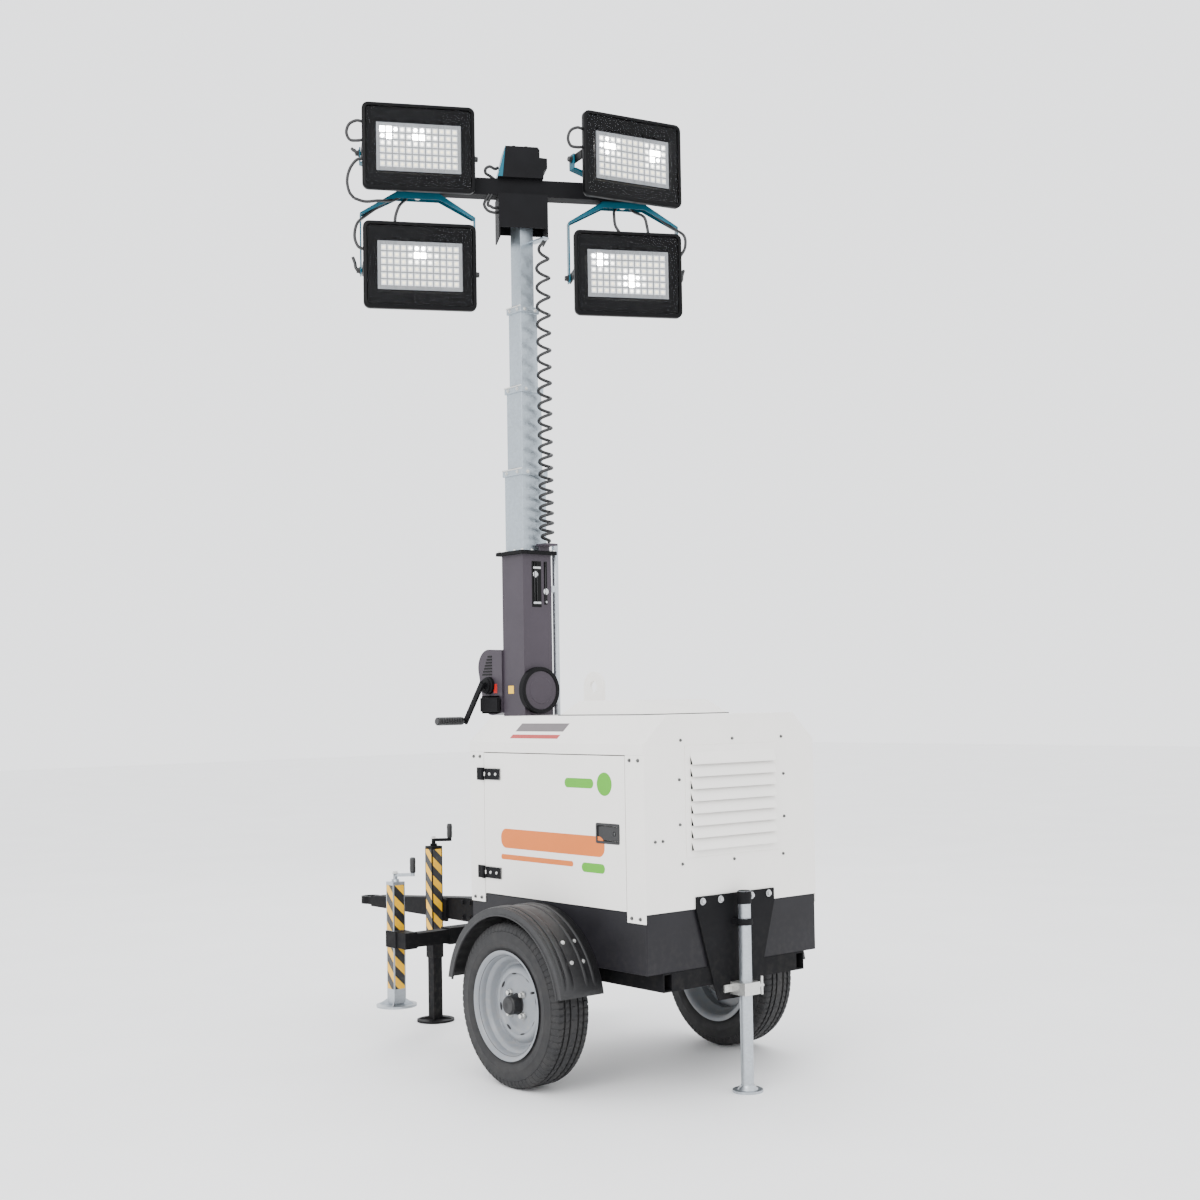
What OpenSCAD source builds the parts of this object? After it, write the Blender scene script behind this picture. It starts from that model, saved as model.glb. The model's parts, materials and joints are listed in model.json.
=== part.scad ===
// Towable light tower with a diesel generator: a box trailer on two wheels, four jacks,
// a telescopic mast raised by a hand winch, and four lamps on a swivelling head.
// X runs along the drawbar with +X at the rear, Y runs across with -Y at the left door, and Z is up.
// The origin lies on the ground, on the axis of the mast.

/* [Enclosure] */
// Length of the generator enclosure
body_l = 955; // [920:5:1150]
// Width of the generator enclosure
body_w = 774; // [740:2:940]
// Distance from the mast axis to the front of the enclosure
mast_to_body = 162; // [150:1:220]
// Height of the enclosure floor above the ground
floor_z = 413; // [405:1:425]
// Height of the base tub
tub_h = 191; // [189:1:230]
// Height of the side walls, from the tub to the eaves
wall_h = 535; // [500:5:650]
// Height of the bevelled roof above the eaves
roof_h = 90; // [70:5:120]
// Sideways width of each roof bevel
roof_inset = 98; // [60:2:120]
// Thickness of the sheet metal panels
sheet_t = 3; // [2:0.5:3.5]
// Thickness of the base tub walls
tub_t = 4; // [3:0.5:6]
// Width of the corner post in front of each door
front_post_w = 85; // [60:1:110]
// Width of the corner post behind each door
rear_post_w = 92; // [60:1:110]
// Height of the eaves band above each door
eave_band = 35; // [15:1:50]
// Gap around each door
door_gap = 3; // [2:0.5:5]
// Depth of the folded edges of each door
door_fold = 18; // [12:1:24]

/* [Louvre] */
// Width of the louvre panel
louvre_w = 424; // [380:2:460]
// Height of the louvre panel
louvre_h = 360; // [330:2:400]
// Number of louvre blades
louvre_n = 8; // [6:1:10]

/* [Chassis] */
// Height of the chassis rails
rail_h = 60; // [50:2:66]
// Width of the chassis rails
rail_w = 40; // [30:2:60]
// Distance from the centre line to the middle of each rail
rail_y = 300; // [260:5:320]
// Wall of the square tubes in the chassis
tube_t = 5; // [3:0.5:6]
// Distance from the mast axis to the centre of the towing eye
eye_reach = 1170; // [1000:5:1400]
// Radius of the hole in the towing eye
eye_bore_r = 20; // [16:0.5:26]
// Outer radius of the towing eye
eye_r = 40; // [34:1:50]
// Thickness of the towing eye
eye_t = 32; // [24:1:33]
// Width of the drawbar
drawbar_w = 70; // [60:2:90]
// Height of the drawbar at the body
drawbar_h = 93; // [86:1:110]
// Height of the drawbar at its nose
drawbar_nose_h = 43; // [43:1:60]

/* [Wheels] */
// Outer radius of each tyre
tyre_r = 273.5; // [262:0.5:274]
// Width of each tyre
tyre_w = 155; // [135:1:165]
// Radius of the seat of the tyre on the rim
rim_r = 165; // [150:1:178]
// Height of the rim flange above the seat
rim_flange = 17; // [12:1:20]
// Radius of the stub axle
stub_r = 15; // [12:0.5:20]
// Gap between each tyre and the side of the tub
tyre_gap = 10; // [8:1:30]
// Distance from the front of the enclosure to the axle
axle_back = 418; // [400:1:520]
// Gap between the tyre and the mudguard
guard_gap = 47; // [35:1:47]

/* [Jacks] */
// Width of the outer square tube of each jack
jack_w = 50; // [46:1:60]
// Width of the sliding square leg of each jack
jack_leg_w = 41; // [36:0.5:41]
// Length of the outer tube of each jack
jack_tube_l = 448; // [420:1:520]
// Radius of the foot of each jack
jack_foot_r = 75; // [55:1:85]
// Radius of the screw in each jack
jack_screw_r = 8; // [6:0.5:10]
// Distance from the centre line to each outrigger jack
outrigger_reach = 467; // [440:1:560]
// Radius of the round leg of the rear jack
rear_leg_r = 21; // [18:0.5:25]
// Radius of the foot of the rear jack
rear_foot_r = 50; // [45:1:70]

/* [Mast] */
// Width of the fixed outer column
mast_w = 135; // [130:1:150]
// Wall of the outer column
mast_t = 5; // [4:0.5:6]
// Height of the top of the outer column
mast_top_z = 1854; // [1800:2:1900]
// Width of each sliding section, from the largest to the smallest
section_w = [113, 96, 79, 62];
// Wall of each sliding section
section_t = 4; // [3:0.5:4]
// Height of the top of each sliding section
section_top_z = [2170, 2490, 2800, 3205];
// Length of each sliding section
section_l = [1380, 1380, 1370, 1455];
// Outer radius of the coiled mast cable
coil_r = 30; // [25:0.5:30]

/* [Lamp head] */
// Angle of the lamp head from straight back
head_angle = -28.6; // [-60:0.1:60]
// Width of the square crossbar
bar_w = 65; // [50:1:70]
// Distance from the mast axis to each lamp bolt
lamp_reach = 400; // [370:1:480]
// Width of each lamp
lamp_w = 424; // [380:1:440]
// Height of each lamp
lamp_h = 330; // [280:1:340]
// Depth of the frame of each lamp
lamp_d = 35; // [25:1:40]
// Height of the upper lamp pivots above the crossbar
upper_pivot = 80; // [78:1:110]
// Depth of the lower lamp pivots below the crossbar
lower_pivot = 305; // [290:1:330]
// Swivel of the upper right lamp
upper_right_swivel = 16; // [0:1:20]

/* [Hidden] */
$fn = 48;

// Clearances: flat sliding faces, and turning pins in their bores
slide_gap = 0.3;
pin_gap = 0.1;

// Levels and faces of the enclosure
body_x0 = mast_to_body;
body_x1 = body_x0 + body_l;
half_w = body_w / 2;
belt_z = floor_z + tub_h;
eave_z = belt_z + wall_h;
roof_z = eave_z + roof_h;
roof_half = half_w - roof_inset;
rail_z = floor_z - rail_h;
tub_half = half_w - sheet_t;
tub_front_slope = 70;
tab_h = 30;

// Door opening, hinges and latch
door_x0 = body_x0 + front_post_w + door_gap;
door_x1 = body_x1 - rear_post_w - door_gap;
door_z0 = belt_z + door_gap;
door_z1 = eave_z - eave_band - door_gap;
hinge_x = door_x0 - door_gap / 2;
hinge_r = 6.5;
hinge_y = half_w + hinge_r + 0.5;
hinge_pin_r = 3;
hinge_h = 44;
hinge_inset = 74;
strap_l = 90;
latch_w = 110;
latch_h = 52;
latch_d = 14;
latch_edge = 33;
latch_x1 = door_x1 - latch_edge;
latch_z = door_z0 + 243;
paddle_gap = 4;
paddle_t = 5;
paddle_pin_r = 2.5;
paddle_r = 4;
paddle_x = latch_x1 - latch_w + paddle_gap + paddle_r;
paddle_y = half_w - paddle_t / 2 - 2;

// Louvre panel on the rear face
louvre_z = belt_z + 346;
louvre_border = 22;
louvre_out = 16;
louvre_pitch = (louvre_h - 2 * louvre_border) / louvre_n;

// Roof hood and lifting eye
hood_x0 = body_x0 + 288;
hood_l = 440;
hood_half = 200;
hood_h = 51;
hood_slope = 70;
lift_x = body_x0 + 240;
lift_r = 55;
lift_bore_r = 20;
lift_t = 12;
lift_z = roof_z + 102;
post_w = 40;

// Running gear
axle_x = body_x0 + axle_back;
axle_z = tyre_r;
wheel_y = tub_half + tyre_gap + tyre_w / 2;
beam_w = 70;
beam_x = axle_x - 130;
beam_half = 345;
arm_t = 20;
rim_wall = 5;
hub_r = 42;
hub_in = 36;
guard_r = tyre_r + guard_gap + 4;
guard_t = 4;
guard_y1 = wheel_y + tyre_w / 2 + 10;
guard_low_z = 60;

// Drawbar, cross tube and towing eye
drawbar_z = floor_z - 4;
drawbar_top = drawbar_z + drawbar_h;
drawbar_tail_x = body_x0 - 12;
drawbar_nose_x = -eye_reach + 60;
drawbar_knee_x = -400;
cross_x = -140;
cross_z = drawbar_z - 2;
arm_w = 50;
cross_w = 2 * tube_t + arm_w + 2 * slide_gap;
cross_half = 300;

// Jacks
jack_wall = (jack_w - jack_leg_w) / 2 - slide_gap;
jack_leg_t = 4;
jack_cap_t = 8;
nut_h = 20;
foot_t = 8;
crank_arm_l = 65;
crank_grip_h = 70;
outrigger_x = cross_x - 80;
outrigger_tube_z = 170;
outrigger_foot_z = outrigger_tube_z - 5 - foot_t;
outrigger_leg_l = 395;
outrigger_screw_l = 383;
tow_jack_x = -558;
tow_jack_y = -drawbar_w / 2 - 13 - jack_w / 2;
tow_jack_z = 255;
tow_leg_l = 432;
tow_screw_l = 404;
rear_jack_x = body_x1 + 43;
rear_leg_wall = 4;
rear_leg_top = 610;
rear_cap_h = 40;
guide_z = 540;
guide_h = 20;
clamp_z = 315;
clamp_h = 40;
clamp_half = 35;
clamp_screw_r = 6;

// Mast
mast_base_t = 10;
mast_foot_z = drawbar_top;
collar_h = 12;
collar_out = 15;
ring_h = 25;
ring_out = 6;
pad_h = 20;
swivel_pin_r = 15;
swivel_pin_h = 80;
cap_plate_t = 10;
coil_x = 98;
coil_y = 25;
coil_z0 = mast_top_z + 26;
coil_z1 = 3050;
conduit_x = 45;
conduit_y = 104;
conduit_r = 12.5;
conduit_z0 = 700;
winch_x = -150;
winch_z = 1345;
winch_half = 75;
winch_pin_r = 10;
crank_swing = [-105, -135];

// Lamp head
bar_t = 3;
bar_z = section_top_z[3] + 25;
bar_top = bar_z + bar_w;
bar_half = lamp_reach + 32;
bolt_r = 8;
yoke_t = 5;
yoke_gap = 2;
yoke_depth = 50;
yoke_arm_d = 40;
yoke_base_half = 80;
upper_shoulder = 40;
lower_shoulder = 88;
pivot_r = 6;
pivot_z_upper = bar_top + upper_pivot;
pivot_z_lower = bar_z - lower_pivot;
frame_back = 70;
lamp_wall = 8;
housing_w = 250;
housing_h = 90;
housing_back = 30;

// ---- shared shapes ----

// Square tube along Z, centred on the axis
module square_tube(w, wall, h) {
    difference() {
        translate([-w / 2, -w / 2, 0]) cube([w, w, h]);
        translate([-w / 2 + wall, -w / 2 + wall, -1]) cube([w - 2 * wall, w - 2 * wall, h + 2]);
    }
}

// Square ring along Z, with the outer and the inner width
module square_ring(outer, inner, h) square_tube(outer, (outer - inner) / 2, h);

// Rectangular tube along X, centred on Y, standing on z = 0
module tube_x(l, w, h, wall) {
    difference() {
        translate([0, -w / 2, 0]) cube([l, w, h]);
        translate([-1, -w / 2 + wall, wall]) cube([l + 2, w - 2 * wall, h - 2 * wall]);
    }
}

// Rectangular tube along Y between y = -l/2 and y = l/2, centred on X, standing on z = 0
module tube_y(l, w, h, wall) rotate([0, 0, 90]) translate([-l / 2, 0, 0]) tube_x(l, w, h, wall);

// Round rod along Y from y0 to y1
module rod_y(r, y0, y1) translate([0, y1, 0]) rotate([90, 0, 0]) cylinder(r = r, h = y1 - y0);

// Extrudes an outline drawn in X and Z, from y0 to y1
module profile_y(y0, y1) translate([0, y1, 0]) rotate([90, 0, 0]) linear_extrude(y1 - y0) children();

// Extrudes an outline drawn in Y and Z, from x0 to x1
module profile_x(x0, x1) {
    translate([x0, 0, 0]) rotate([90, 0, 90]) linear_extrude(x1 - x0) children();
}

// Places a copy on the left side, and its mirror image on the right
module both_sides() {
    children();
    mirror([0, 1, 0]) children();
}

// Rounded rectangle centred on the origin
module rounded_rect(w, h, r) offset(r) square([w - 2 * r, h - 2 * r], center = true);

// Domed bolt head on a face, pointing along +Z
module bolt_head(r = 7) {
    cylinder(r = r, h = 1.5);
    cylinder(r = r * 0.7, h = 5);
}

// ---- chassis ----

module chassis_frame() color("dimgray") {
    front_plate_t = 12;
    front_plate_half = 200;
    frame_l = body_l - front_plate_t;
    cross_xs = [body_x0 + front_plate_t + rail_w / 2, beam_x, body_x1 - rail_w / 2];
    translate([body_x0 + front_plate_t, 0, rail_z]) both_sides() {
        translate([0, rail_y, 0]) tube_x(frame_l, rail_w, rail_h, tube_t);
    }
    for (x = cross_xs) {
        translate([x, 0, rail_z]) tube_y(2 * rail_y - rail_w, rail_w, rail_h, tube_t);
    }
    translate([body_x0, -rail_y - rail_w / 2, rail_z])
        cube([front_plate_t, 2 * rail_y + rail_w, rail_h]);
    translate([body_x0 - front_plate_t, -front_plate_half, rail_z])
        cube([front_plate_t, 2 * front_plate_half, drawbar_top - rail_z]);
    translate([lift_x, 0, floor_z + tub_t])
        square_tube(post_w, tube_t, roof_z - sheet_t - floor_z - tub_t);
}

// Outline of the tub in X and Z, set in by a wall thickness
module tub_outline(inset, top) {
    x0 = body_x0 + sheet_t + inset;
    x1 = body_x1 - sheet_t - inset;
    polygon([[x0 + tub_front_slope, floor_z + inset], [x1, floor_z + inset], [x1, top],
        [x0, top], [x0, floor_z + inset + tub_front_slope]]);
}

module base_tub() color("#1b1b1d") {
    difference() {
        profile_y(-tub_half, tub_half) tub_outline(0, belt_z);
        profile_y(-tub_half + tub_t, tub_half - tub_t) tub_outline(tub_t, belt_z + 1);
    }
}

// Side outline of the drawbar
module drawbar_outline(inset) {
    polygon([[drawbar_nose_x, drawbar_z + inset], [drawbar_tail_x, drawbar_z + inset],
        [drawbar_tail_x, drawbar_top - inset], [drawbar_knee_x, drawbar_top - inset],
        [drawbar_nose_x, drawbar_z + drawbar_nose_h - inset]]);
}

module drawbar() color("#1b1b1d") {
    inner = drawbar_w / 2 - tube_t;
    shank_l = 110;
    difference() {
        union() {
            profile_y(-drawbar_w / 2, drawbar_w / 2) drawbar_outline(0);
            translate([cross_x, 0, cross_z - cross_w / 2])
                rotate([0, 0, 90]) translate([-cross_half, -cross_w / 2, 0])
                cube([2 * cross_half, cross_w, cross_w]);
        }
        intersection() {
            profile_y(-inner, inner) drawbar_outline(tube_t);
            translate([drawbar_nose_x - 1, -inner, drawbar_z])
                cube([cross_x - cross_w / 2 - drawbar_nose_x - tube_t, 2 * inner, drawbar_h]);
        }
        translate([drawbar_nose_x - 1, -inner, drawbar_z + tube_t])
            cube([shank_l / 2, 2 * inner, drawbar_nose_h - 2 * tube_t]);
        translate([cross_x, 0, cross_z - arm_w / 2 - slide_gap])
            tube_y_bore();
    }
    difference() {
        translate([-eye_reach, 0, drawbar_z + tube_t]) {
            cylinder(r = eye_r, h = eye_t);
            translate([0, -inner + slide_gap, 0])
                cube([shank_l, 2 * (inner - slide_gap), eye_t]);
        }
        translate([-eye_reach, 0, drawbar_z]) cylinder(r = eye_bore_r, h = eye_t + 2 * tube_t);
    }
}

// Square bore of the cross tube that the outrigger arms slide in
module tube_y_bore() {
    bore_w = arm_w + 2 * slide_gap;
    translate([-bore_w / 2, -cross_half - 1, 0]) cube([bore_w, 2 * cross_half + 2, bore_w]);
}

module axle() color("#1b1b1d") {
    translate([beam_x, 0, rail_z - beam_w]) tube_y(2 * beam_half, beam_w, beam_w, tube_t);
    both_sides() {
        profile_y(beam_half, beam_half + arm_t) hull() {
            translate([beam_x, rail_z - beam_w / 2]) circle(r = 36, $fn = 32);
            translate([axle_x, axle_z]) circle(r = 28, $fn = 32);
        }
        translate([axle_x, 0, axle_z]) rod_y(stub_r, beam_half + arm_t, wheel_y + hub_in - 4);
    }
}

// Outline of a mudguard in X and Z, a half ring that runs down below the axle in front and behind
module guard_outline(r_out, r_in) {
    difference() {
        circle(r = r_out);
        circle(r = r_in);
        translate([-r_out - 1, -r_out - 1]) square([2 * r_out + 2, r_out + 1 + guard_low_z]);
    }
}

module mudguards() color("#222224") {
    lip_h = 26;
    both_sides() translate([axle_x, 0, axle_z]) {
        profile_y(tub_half, guard_y1) guard_outline(guard_r, guard_r - guard_t);
        profile_y(tub_half, tub_half + guard_t) guard_outline(guard_r, guard_r - 1.5 * lip_h);
        profile_y(guard_y1 - guard_t, guard_y1) guard_outline(guard_r, guard_r - lip_h);
    }
}

// ---- wheels ----

// A ring about the wheel axis, between two radii, with y measured outwards from the wheel's middle
module wheel_ring(r_out, r_in, y0, y1) {
    rotate([-90, 0, 0]) translate([0, 0, y0]) difference() {
        cylinder(r = r_out, h = y1 - y0);
        translate([0, 0, -1]) cylinder(r = r_in, h = y1 - y0 + 2);
    }
}

// Places a wheel part on the right side, with y outwards
module at_wheel() translate([axle_x, wheel_y, axle_z]) children();

module rim() color("silver") at_wheel() {
    half = tyre_w / 2 - 4;
    disc_t = 6;
    bore = stub_r + pin_gap;
    wheel_ring(rim_r, rim_r - rim_wall, -half, half);
    wheel_ring(rim_r + rim_flange, rim_r - rim_wall, -half - 4, -half);
    wheel_ring(rim_r + rim_flange, rim_r - rim_wall, half, half + 4);
    wheel_ring(rim_r - rim_wall, 2 * hub_r, half - 44, half - 44 + disc_t);
    wheel_ring(2 * hub_r + 6, hub_r - 1, half - 44, half - 28);
    wheel_ring(hub_r, bore, -tyre_w / 2 + 20, hub_in);
    wheel_ring(2 * hub_r, hub_r - 1, -tyre_w / 2 + 24, half - 60);
}

module tyre() color("#2a2a2b") at_wheel() {
    half = tyre_w / 2;
    bead = rim_r + slide_gap;
    rotate([-90, 0, 0]) rotate_extrude() difference() {
        polygon([[bead, -half + 9], [rim_r + 18, -half + 9 - slide_gap], [rim_r + 45, -half],
            [tyre_r - 30, -half + 4], [tyre_r - 8, -half + 10], [tyre_r, -half + 24],
            [tyre_r, half - 24], [tyre_r - 8, half - 10], [tyre_r - 30, half - 4],
            [rim_r + 45, half], [rim_r + 18, half - 9 + slide_gap], [bead, half - 9]]);
        polygon([[bead - 1, -half + 20], [rim_r + 45, -half + 10], [tyre_r - 12, -half + 20],
            [tyre_r - 12, half - 20], [rim_r + 45, half - 10], [bead - 1, half - 20]]);
    }
}

module tyre_left() mirror([0, 1, 0]) tyre();
module tyre_right() tyre();
module rim_left() mirror([0, 1, 0]) rim();
module rim_right() rim();

// ---- enclosure ----

// Outline of the body in Y and Z, from the belt line to the roof
module body_outline(inset) {
    cut = inset * 0.42;
    polygon([[-half_w + inset, belt_z], [half_w - inset, belt_z], [half_w - inset, eave_z - cut],
        [roof_half - cut, roof_z - inset], [-roof_half + cut, roof_z - inset],
        [-half_w + inset, eave_z - cut]]);
}

// Folded post at a door edge, with its tab over the tub; x0 is the panel and x1 the door side
module corner_post(x0, x1, jamb_x) {
    translate([min(x0, x1), half_w - sheet_t, belt_z - tab_h])
        cube([abs(x1 - x0), sheet_t, eave_z - eave_band - belt_z + tab_h]);
    translate([jamb_x, half_w - door_fold - 2, belt_z])
        cube([sheet_t, door_fold + 2, eave_z - eave_band - belt_z]);
}

module end_panels() color("#f2f1ec") {
    front_post_x = body_x0 + front_post_w;
    rear_post_x = body_x1 - rear_post_w;
    profile_x(body_x0, body_x0 + sheet_t) body_outline(0);
    both_sides() corner_post(body_x0 + sheet_t / 2, front_post_x, front_post_x - sheet_t);
    difference() {
        profile_x(body_x1 - sheet_t, body_x1) body_outline(0);
        translate([body_x1 - sheet_t - 1, -louvre_w / 2 + louvre_border, louvre_z - louvre_h / 2
            + louvre_border])
            cube([sheet_t + 2, louvre_w - 2 * louvre_border, louvre_h - 2 * louvre_border]);
    }
    both_sides() corner_post(body_x1 - sheet_t / 2, rear_post_x, rear_post_x);
}

module louvre_panel() color("#ecebe6") {
    open_half = louvre_w / 2 - louvre_border;
    z0 = louvre_z - louvre_h / 2;
    difference() {
        translate([body_x1, -louvre_w / 2, z0]) cube([sheet_t, louvre_w, louvre_h]);
        translate([body_x1 - 1, -open_half, z0 + louvre_border])
            cube([sheet_t + 2, 2 * open_half, louvre_h - 2 * louvre_border]);
    }
    for (i = [0 : louvre_n - 1]) {
        translate([body_x1, 0, z0 + louvre_border + i * louvre_pitch])
            profile_y(-open_half - 1, open_half + 1)
            polygon([[0, louvre_pitch], [sheet_t, louvre_pitch], [louvre_out, 6], [louvre_out, 0],
                [louvre_out - sheet_t, 0], [louvre_out - sheet_t, 5], [0, louvre_pitch - 4]]);
    }
}

module roof_panel() color("#f2f1ec") {
    cut = sheet_t * 0.42;
    low = eave_z - eave_band;
    outer = [[half_w, low], [half_w, eave_z], [roof_half, roof_z]];
    inner = [[roof_half - cut, roof_z - sheet_t], [half_w - sheet_t, eave_z - cut],
        [half_w - sheet_t, low]];
    mirrored = [for (i = [2 : -1 : 0]) [-outer[i].x, outer[i].y]];
    inner_mirrored = [for (i = [2 : -1 : 0]) [-inner[i].x, inner[i].y]];
    profile_x(body_x0 + sheet_t, body_x1 - sheet_t)
        polygon(concat(outer, mirrored, inner_mirrored, inner));
}

// Frustum of the hood, set in by a wall thickness
module hood_block(inset, extra) {
    hull() {
        translate([hood_x0 + inset, -hood_half + inset, roof_z - extra])
            cube([hood_l - 2 * inset, 2 * (hood_half - inset), 1]);
        translate([hood_x0 + hood_slope + inset, -hood_half + hood_slope / 2 + inset,
            roof_z + hood_h - 1 - inset])
            cube([hood_l - 2 * hood_slope - 2 * inset, 2 * (hood_half - hood_slope / 2 - inset), 1]);
    }
}

module roof_hood() color("#f4f3ee") difference() {
    hood_block(0, 0);
    hood_block(sheet_t, 2);
}

module lifting_eye() color("#ecebe6") {
    flange_t = 6;
    flange_w = 84;
    translate([lift_x - lift_r - 10, -flange_w / 2, roof_z]) cube([2 * lift_r - 20, flange_w, flange_t]);
    translate([lift_x, 0, 0]) difference() {
        union() {
            translate([0, 0, lift_z]) rod_y(lift_r, -lift_t / 2, lift_t / 2);
            translate([-lift_r, -lift_t / 2, roof_z + flange_t])
                cube([2 * lift_r, lift_t, lift_z - roof_z - flange_t]);
        }
        translate([0, 0, lift_z]) rod_y(lift_bore_r, -lift_t, lift_t);
    }
}

// Strap and middle knuckle of one hinge on a door, at the hinge axis
module door_strap() {
    middle = hinge_h / 3 - 1;
    strap_y0 = half_w - hinge_y;
    difference() {
        union() {
            translate([0, 0, -middle / 2]) cylinder(r = hinge_r, h = middle);
            translate([0, strap_y0, -middle / 2]) cube([12, 6, middle]);
            translate([9, strap_y0, -hinge_h / 2 + 2]) cube([strap_l, 4, hinge_h - 4]);
        }
        translate([0, 0, -middle]) cylinder(r = hinge_pin_r + pin_gap, h = 2 * middle);
    }
}

// Fixed leaf, outer knuckles and pin of one hinge, at the hinge axis
module hinge_leaf() {
    knuckle = hinge_h / 3;
    leaf_l = 32;
    for (z = [-hinge_h / 2, hinge_h / 2 - knuckle]) translate([0, 0, z]) {
        cylinder(r = hinge_r, h = knuckle);
        translate([-12, half_w - hinge_y, 0]) cube([12, 6, knuckle]);
    }
    translate([-8 - leaf_l, half_w - hinge_y, -hinge_h / 2]) cube([leaf_l, 3.5, hinge_h]);
    translate([0, 0, -hinge_h / 2]) cylinder(r = hinge_pin_r, h = hinge_h);
}

// Places a child at each hinge of the right door
module at_hinges() {
    for (z = [door_z0 + hinge_inset, door_z1 - hinge_inset]) translate([hinge_x, hinge_y, z]) children();
}

module door_hinges() color("#1b1b1d") both_sides() at_hinges() hinge_leaf();

// The right door: a folded pan with a latch recess and two strap hinges
module door() color("#f2f1ec") {
    l = door_x1 - door_x0;
    h = door_z1 - door_z0;
    recess_x = latch_x1 - latch_w;
    recess_z = latch_z - latch_h / 2;
    difference() {
        union() {
            translate([door_x0, half_w - door_fold, door_z0]) difference() {
                cube([l, door_fold, h]);
                translate([sheet_t, -1, sheet_t])
                    cube([l - 2 * sheet_t, door_fold - sheet_t + 1, h - 2 * sheet_t]);
            }
            translate([recess_x - sheet_t, half_w - latch_d - sheet_t, recess_z - sheet_t])
                cube([latch_w + 2 * sheet_t, latch_d, latch_h + 2 * sheet_t]);
        }
        translate([recess_x, half_w - latch_d, recess_z]) cube([latch_w, latch_d + 1, latch_h]);
        translate([paddle_x, paddle_y, recess_z - 2])
            cylinder(r = paddle_pin_r + pin_gap, h = latch_h + 4);
    }
    at_hinges() door_strap();
}

module door_left() mirror([0, 1, 0]) door();
module door_right() door();

// The right latch: a paddle that turns on a pin at its front edge
module latch() color("#161617") {
    paddle_l = latch_w - 2 * paddle_gap - paddle_r;
    paddle_h = latch_h - 2 * paddle_gap;
    translate([paddle_x, paddle_y, latch_z]) {
        translate([0, 0, -paddle_h / 2]) cylinder(r = paddle_r, h = paddle_h);
        translate([0, 0, -latch_h / 2 - 1.5]) cylinder(r = paddle_pin_r, h = latch_h + 3);
        translate([0, -paddle_t / 2 + 2, -paddle_h / 2]) cube([paddle_l, paddle_t, paddle_h]);
    }
}

module latch_left() mirror([0, 1, 0]) latch();
module latch_right() latch();

// Bolts and screws on the outside of the enclosure and the mudguards
module panel_bolts() color("#b9bcc0") {
    post_xs = [body_x0 + front_post_w * 0.3, body_x0 + front_post_w * 0.75,
        body_x1 - rear_post_w * 0.75, body_x1 - rear_post_w * 0.3];
    screw_y = louvre_w / 2 + 18;
    screw_z = louvre_h / 2 + 18;
    both_sides() {
        for (x = post_xs, z = [belt_z - tab_h / 2, eave_z - eave_band - 16])
            translate([x, half_w, z]) rotate([-90, 0, 0]) bolt_head(6);
        for (x = [guard_r * 0.72, guard_r * 0.86], dy = [0.35, 0.65])
            translate([axle_x + x, tub_half + tyre_w * dy, axle_z + sqrt(pow(guard_r, 2) - pow(x, 2))])
                rotate([0, asin(x / guard_r), 0]) bolt_head(7);
    }
    for (y = [-screw_y, 0, screw_y], z = [-screw_z, screw_z])
        translate([body_x1, y, louvre_z + z]) rotate([0, 90, 0]) bolt_head(5);
    for (y = [-screw_y - 8, screw_y + 8], z = [-louvre_h / 5, louvre_h / 5])
        translate([body_x1, y, louvre_z + z]) rotate([0, 90, 0]) bolt_head(5);
    for (y = [-1.5, -1.36]) translate([body_x1, y * screw_y, louvre_z - louvre_h / 3])
        rotate([0, 90, 0]) bolt_head(5);
}

// ---- generator set ----

crank_z = floor_z + 190;
fan_z = belt_z + 256;
engine_x0 = body_x0 + 500;
engine_l = 268;
fan_x = engine_x0 + engine_l + 55;
fan_pin_r = 12;
fan_pin_in = 20;
fan_r = 170;

module engine() color("#3d5a45") {
    block_w = 260;
    block_h = 300;
    block_drop = 130;
    bracket_t = 40;
    bracket_half = 35;
    foot_h = crank_z - floor_z - tub_t - block_drop;
    muffler_r = 55;
    translate([engine_x0, -block_w / 2, crank_z - block_drop]) cube([engine_l, block_w, block_h]);
    difference() {
        translate([engine_x0 + engine_l - bracket_t, -bracket_half, crank_z + block_h - block_drop - 1])
            cube([bracket_t, 2 * bracket_half, fan_z + bracket_half - crank_z - block_h + block_drop + 1]);
        translate([engine_x0 + engine_l - fan_pin_in - 2, 0, fan_z])
            rotate([0, 90, 0]) cylinder(r = fan_pin_r + pin_gap, h = fan_pin_in + 3);
    }
    for (x = [20, engine_l - 60], y = [-block_w / 2 - 30, block_w / 2 - 30])
        translate([engine_x0 + x, y, floor_z + tub_t]) cube([40, 60, foot_h]);
    translate([engine_x0 + 20, -80, crank_z + 170]) cube([engine_l - 90, 160, 60]);
    translate([engine_x0 + 90, 0, crank_z + 230 + muffler_r]) rod_y(muffler_r, -190, 190);
}

module alternator() color("#8a8f94") {
    r = 135;
    l = 210;
    x0 = engine_x0 - l;
    translate([x0, 0, crank_z]) rotate([0, 90, 0]) cylinder(r = r, h = l);
    for (y = [-110, 70]) translate([x0 + 30, y, floor_z + tub_t])
        cube([l - 60, 40, crank_z - floor_z - tub_t - r * 0.6]);
}

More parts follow.
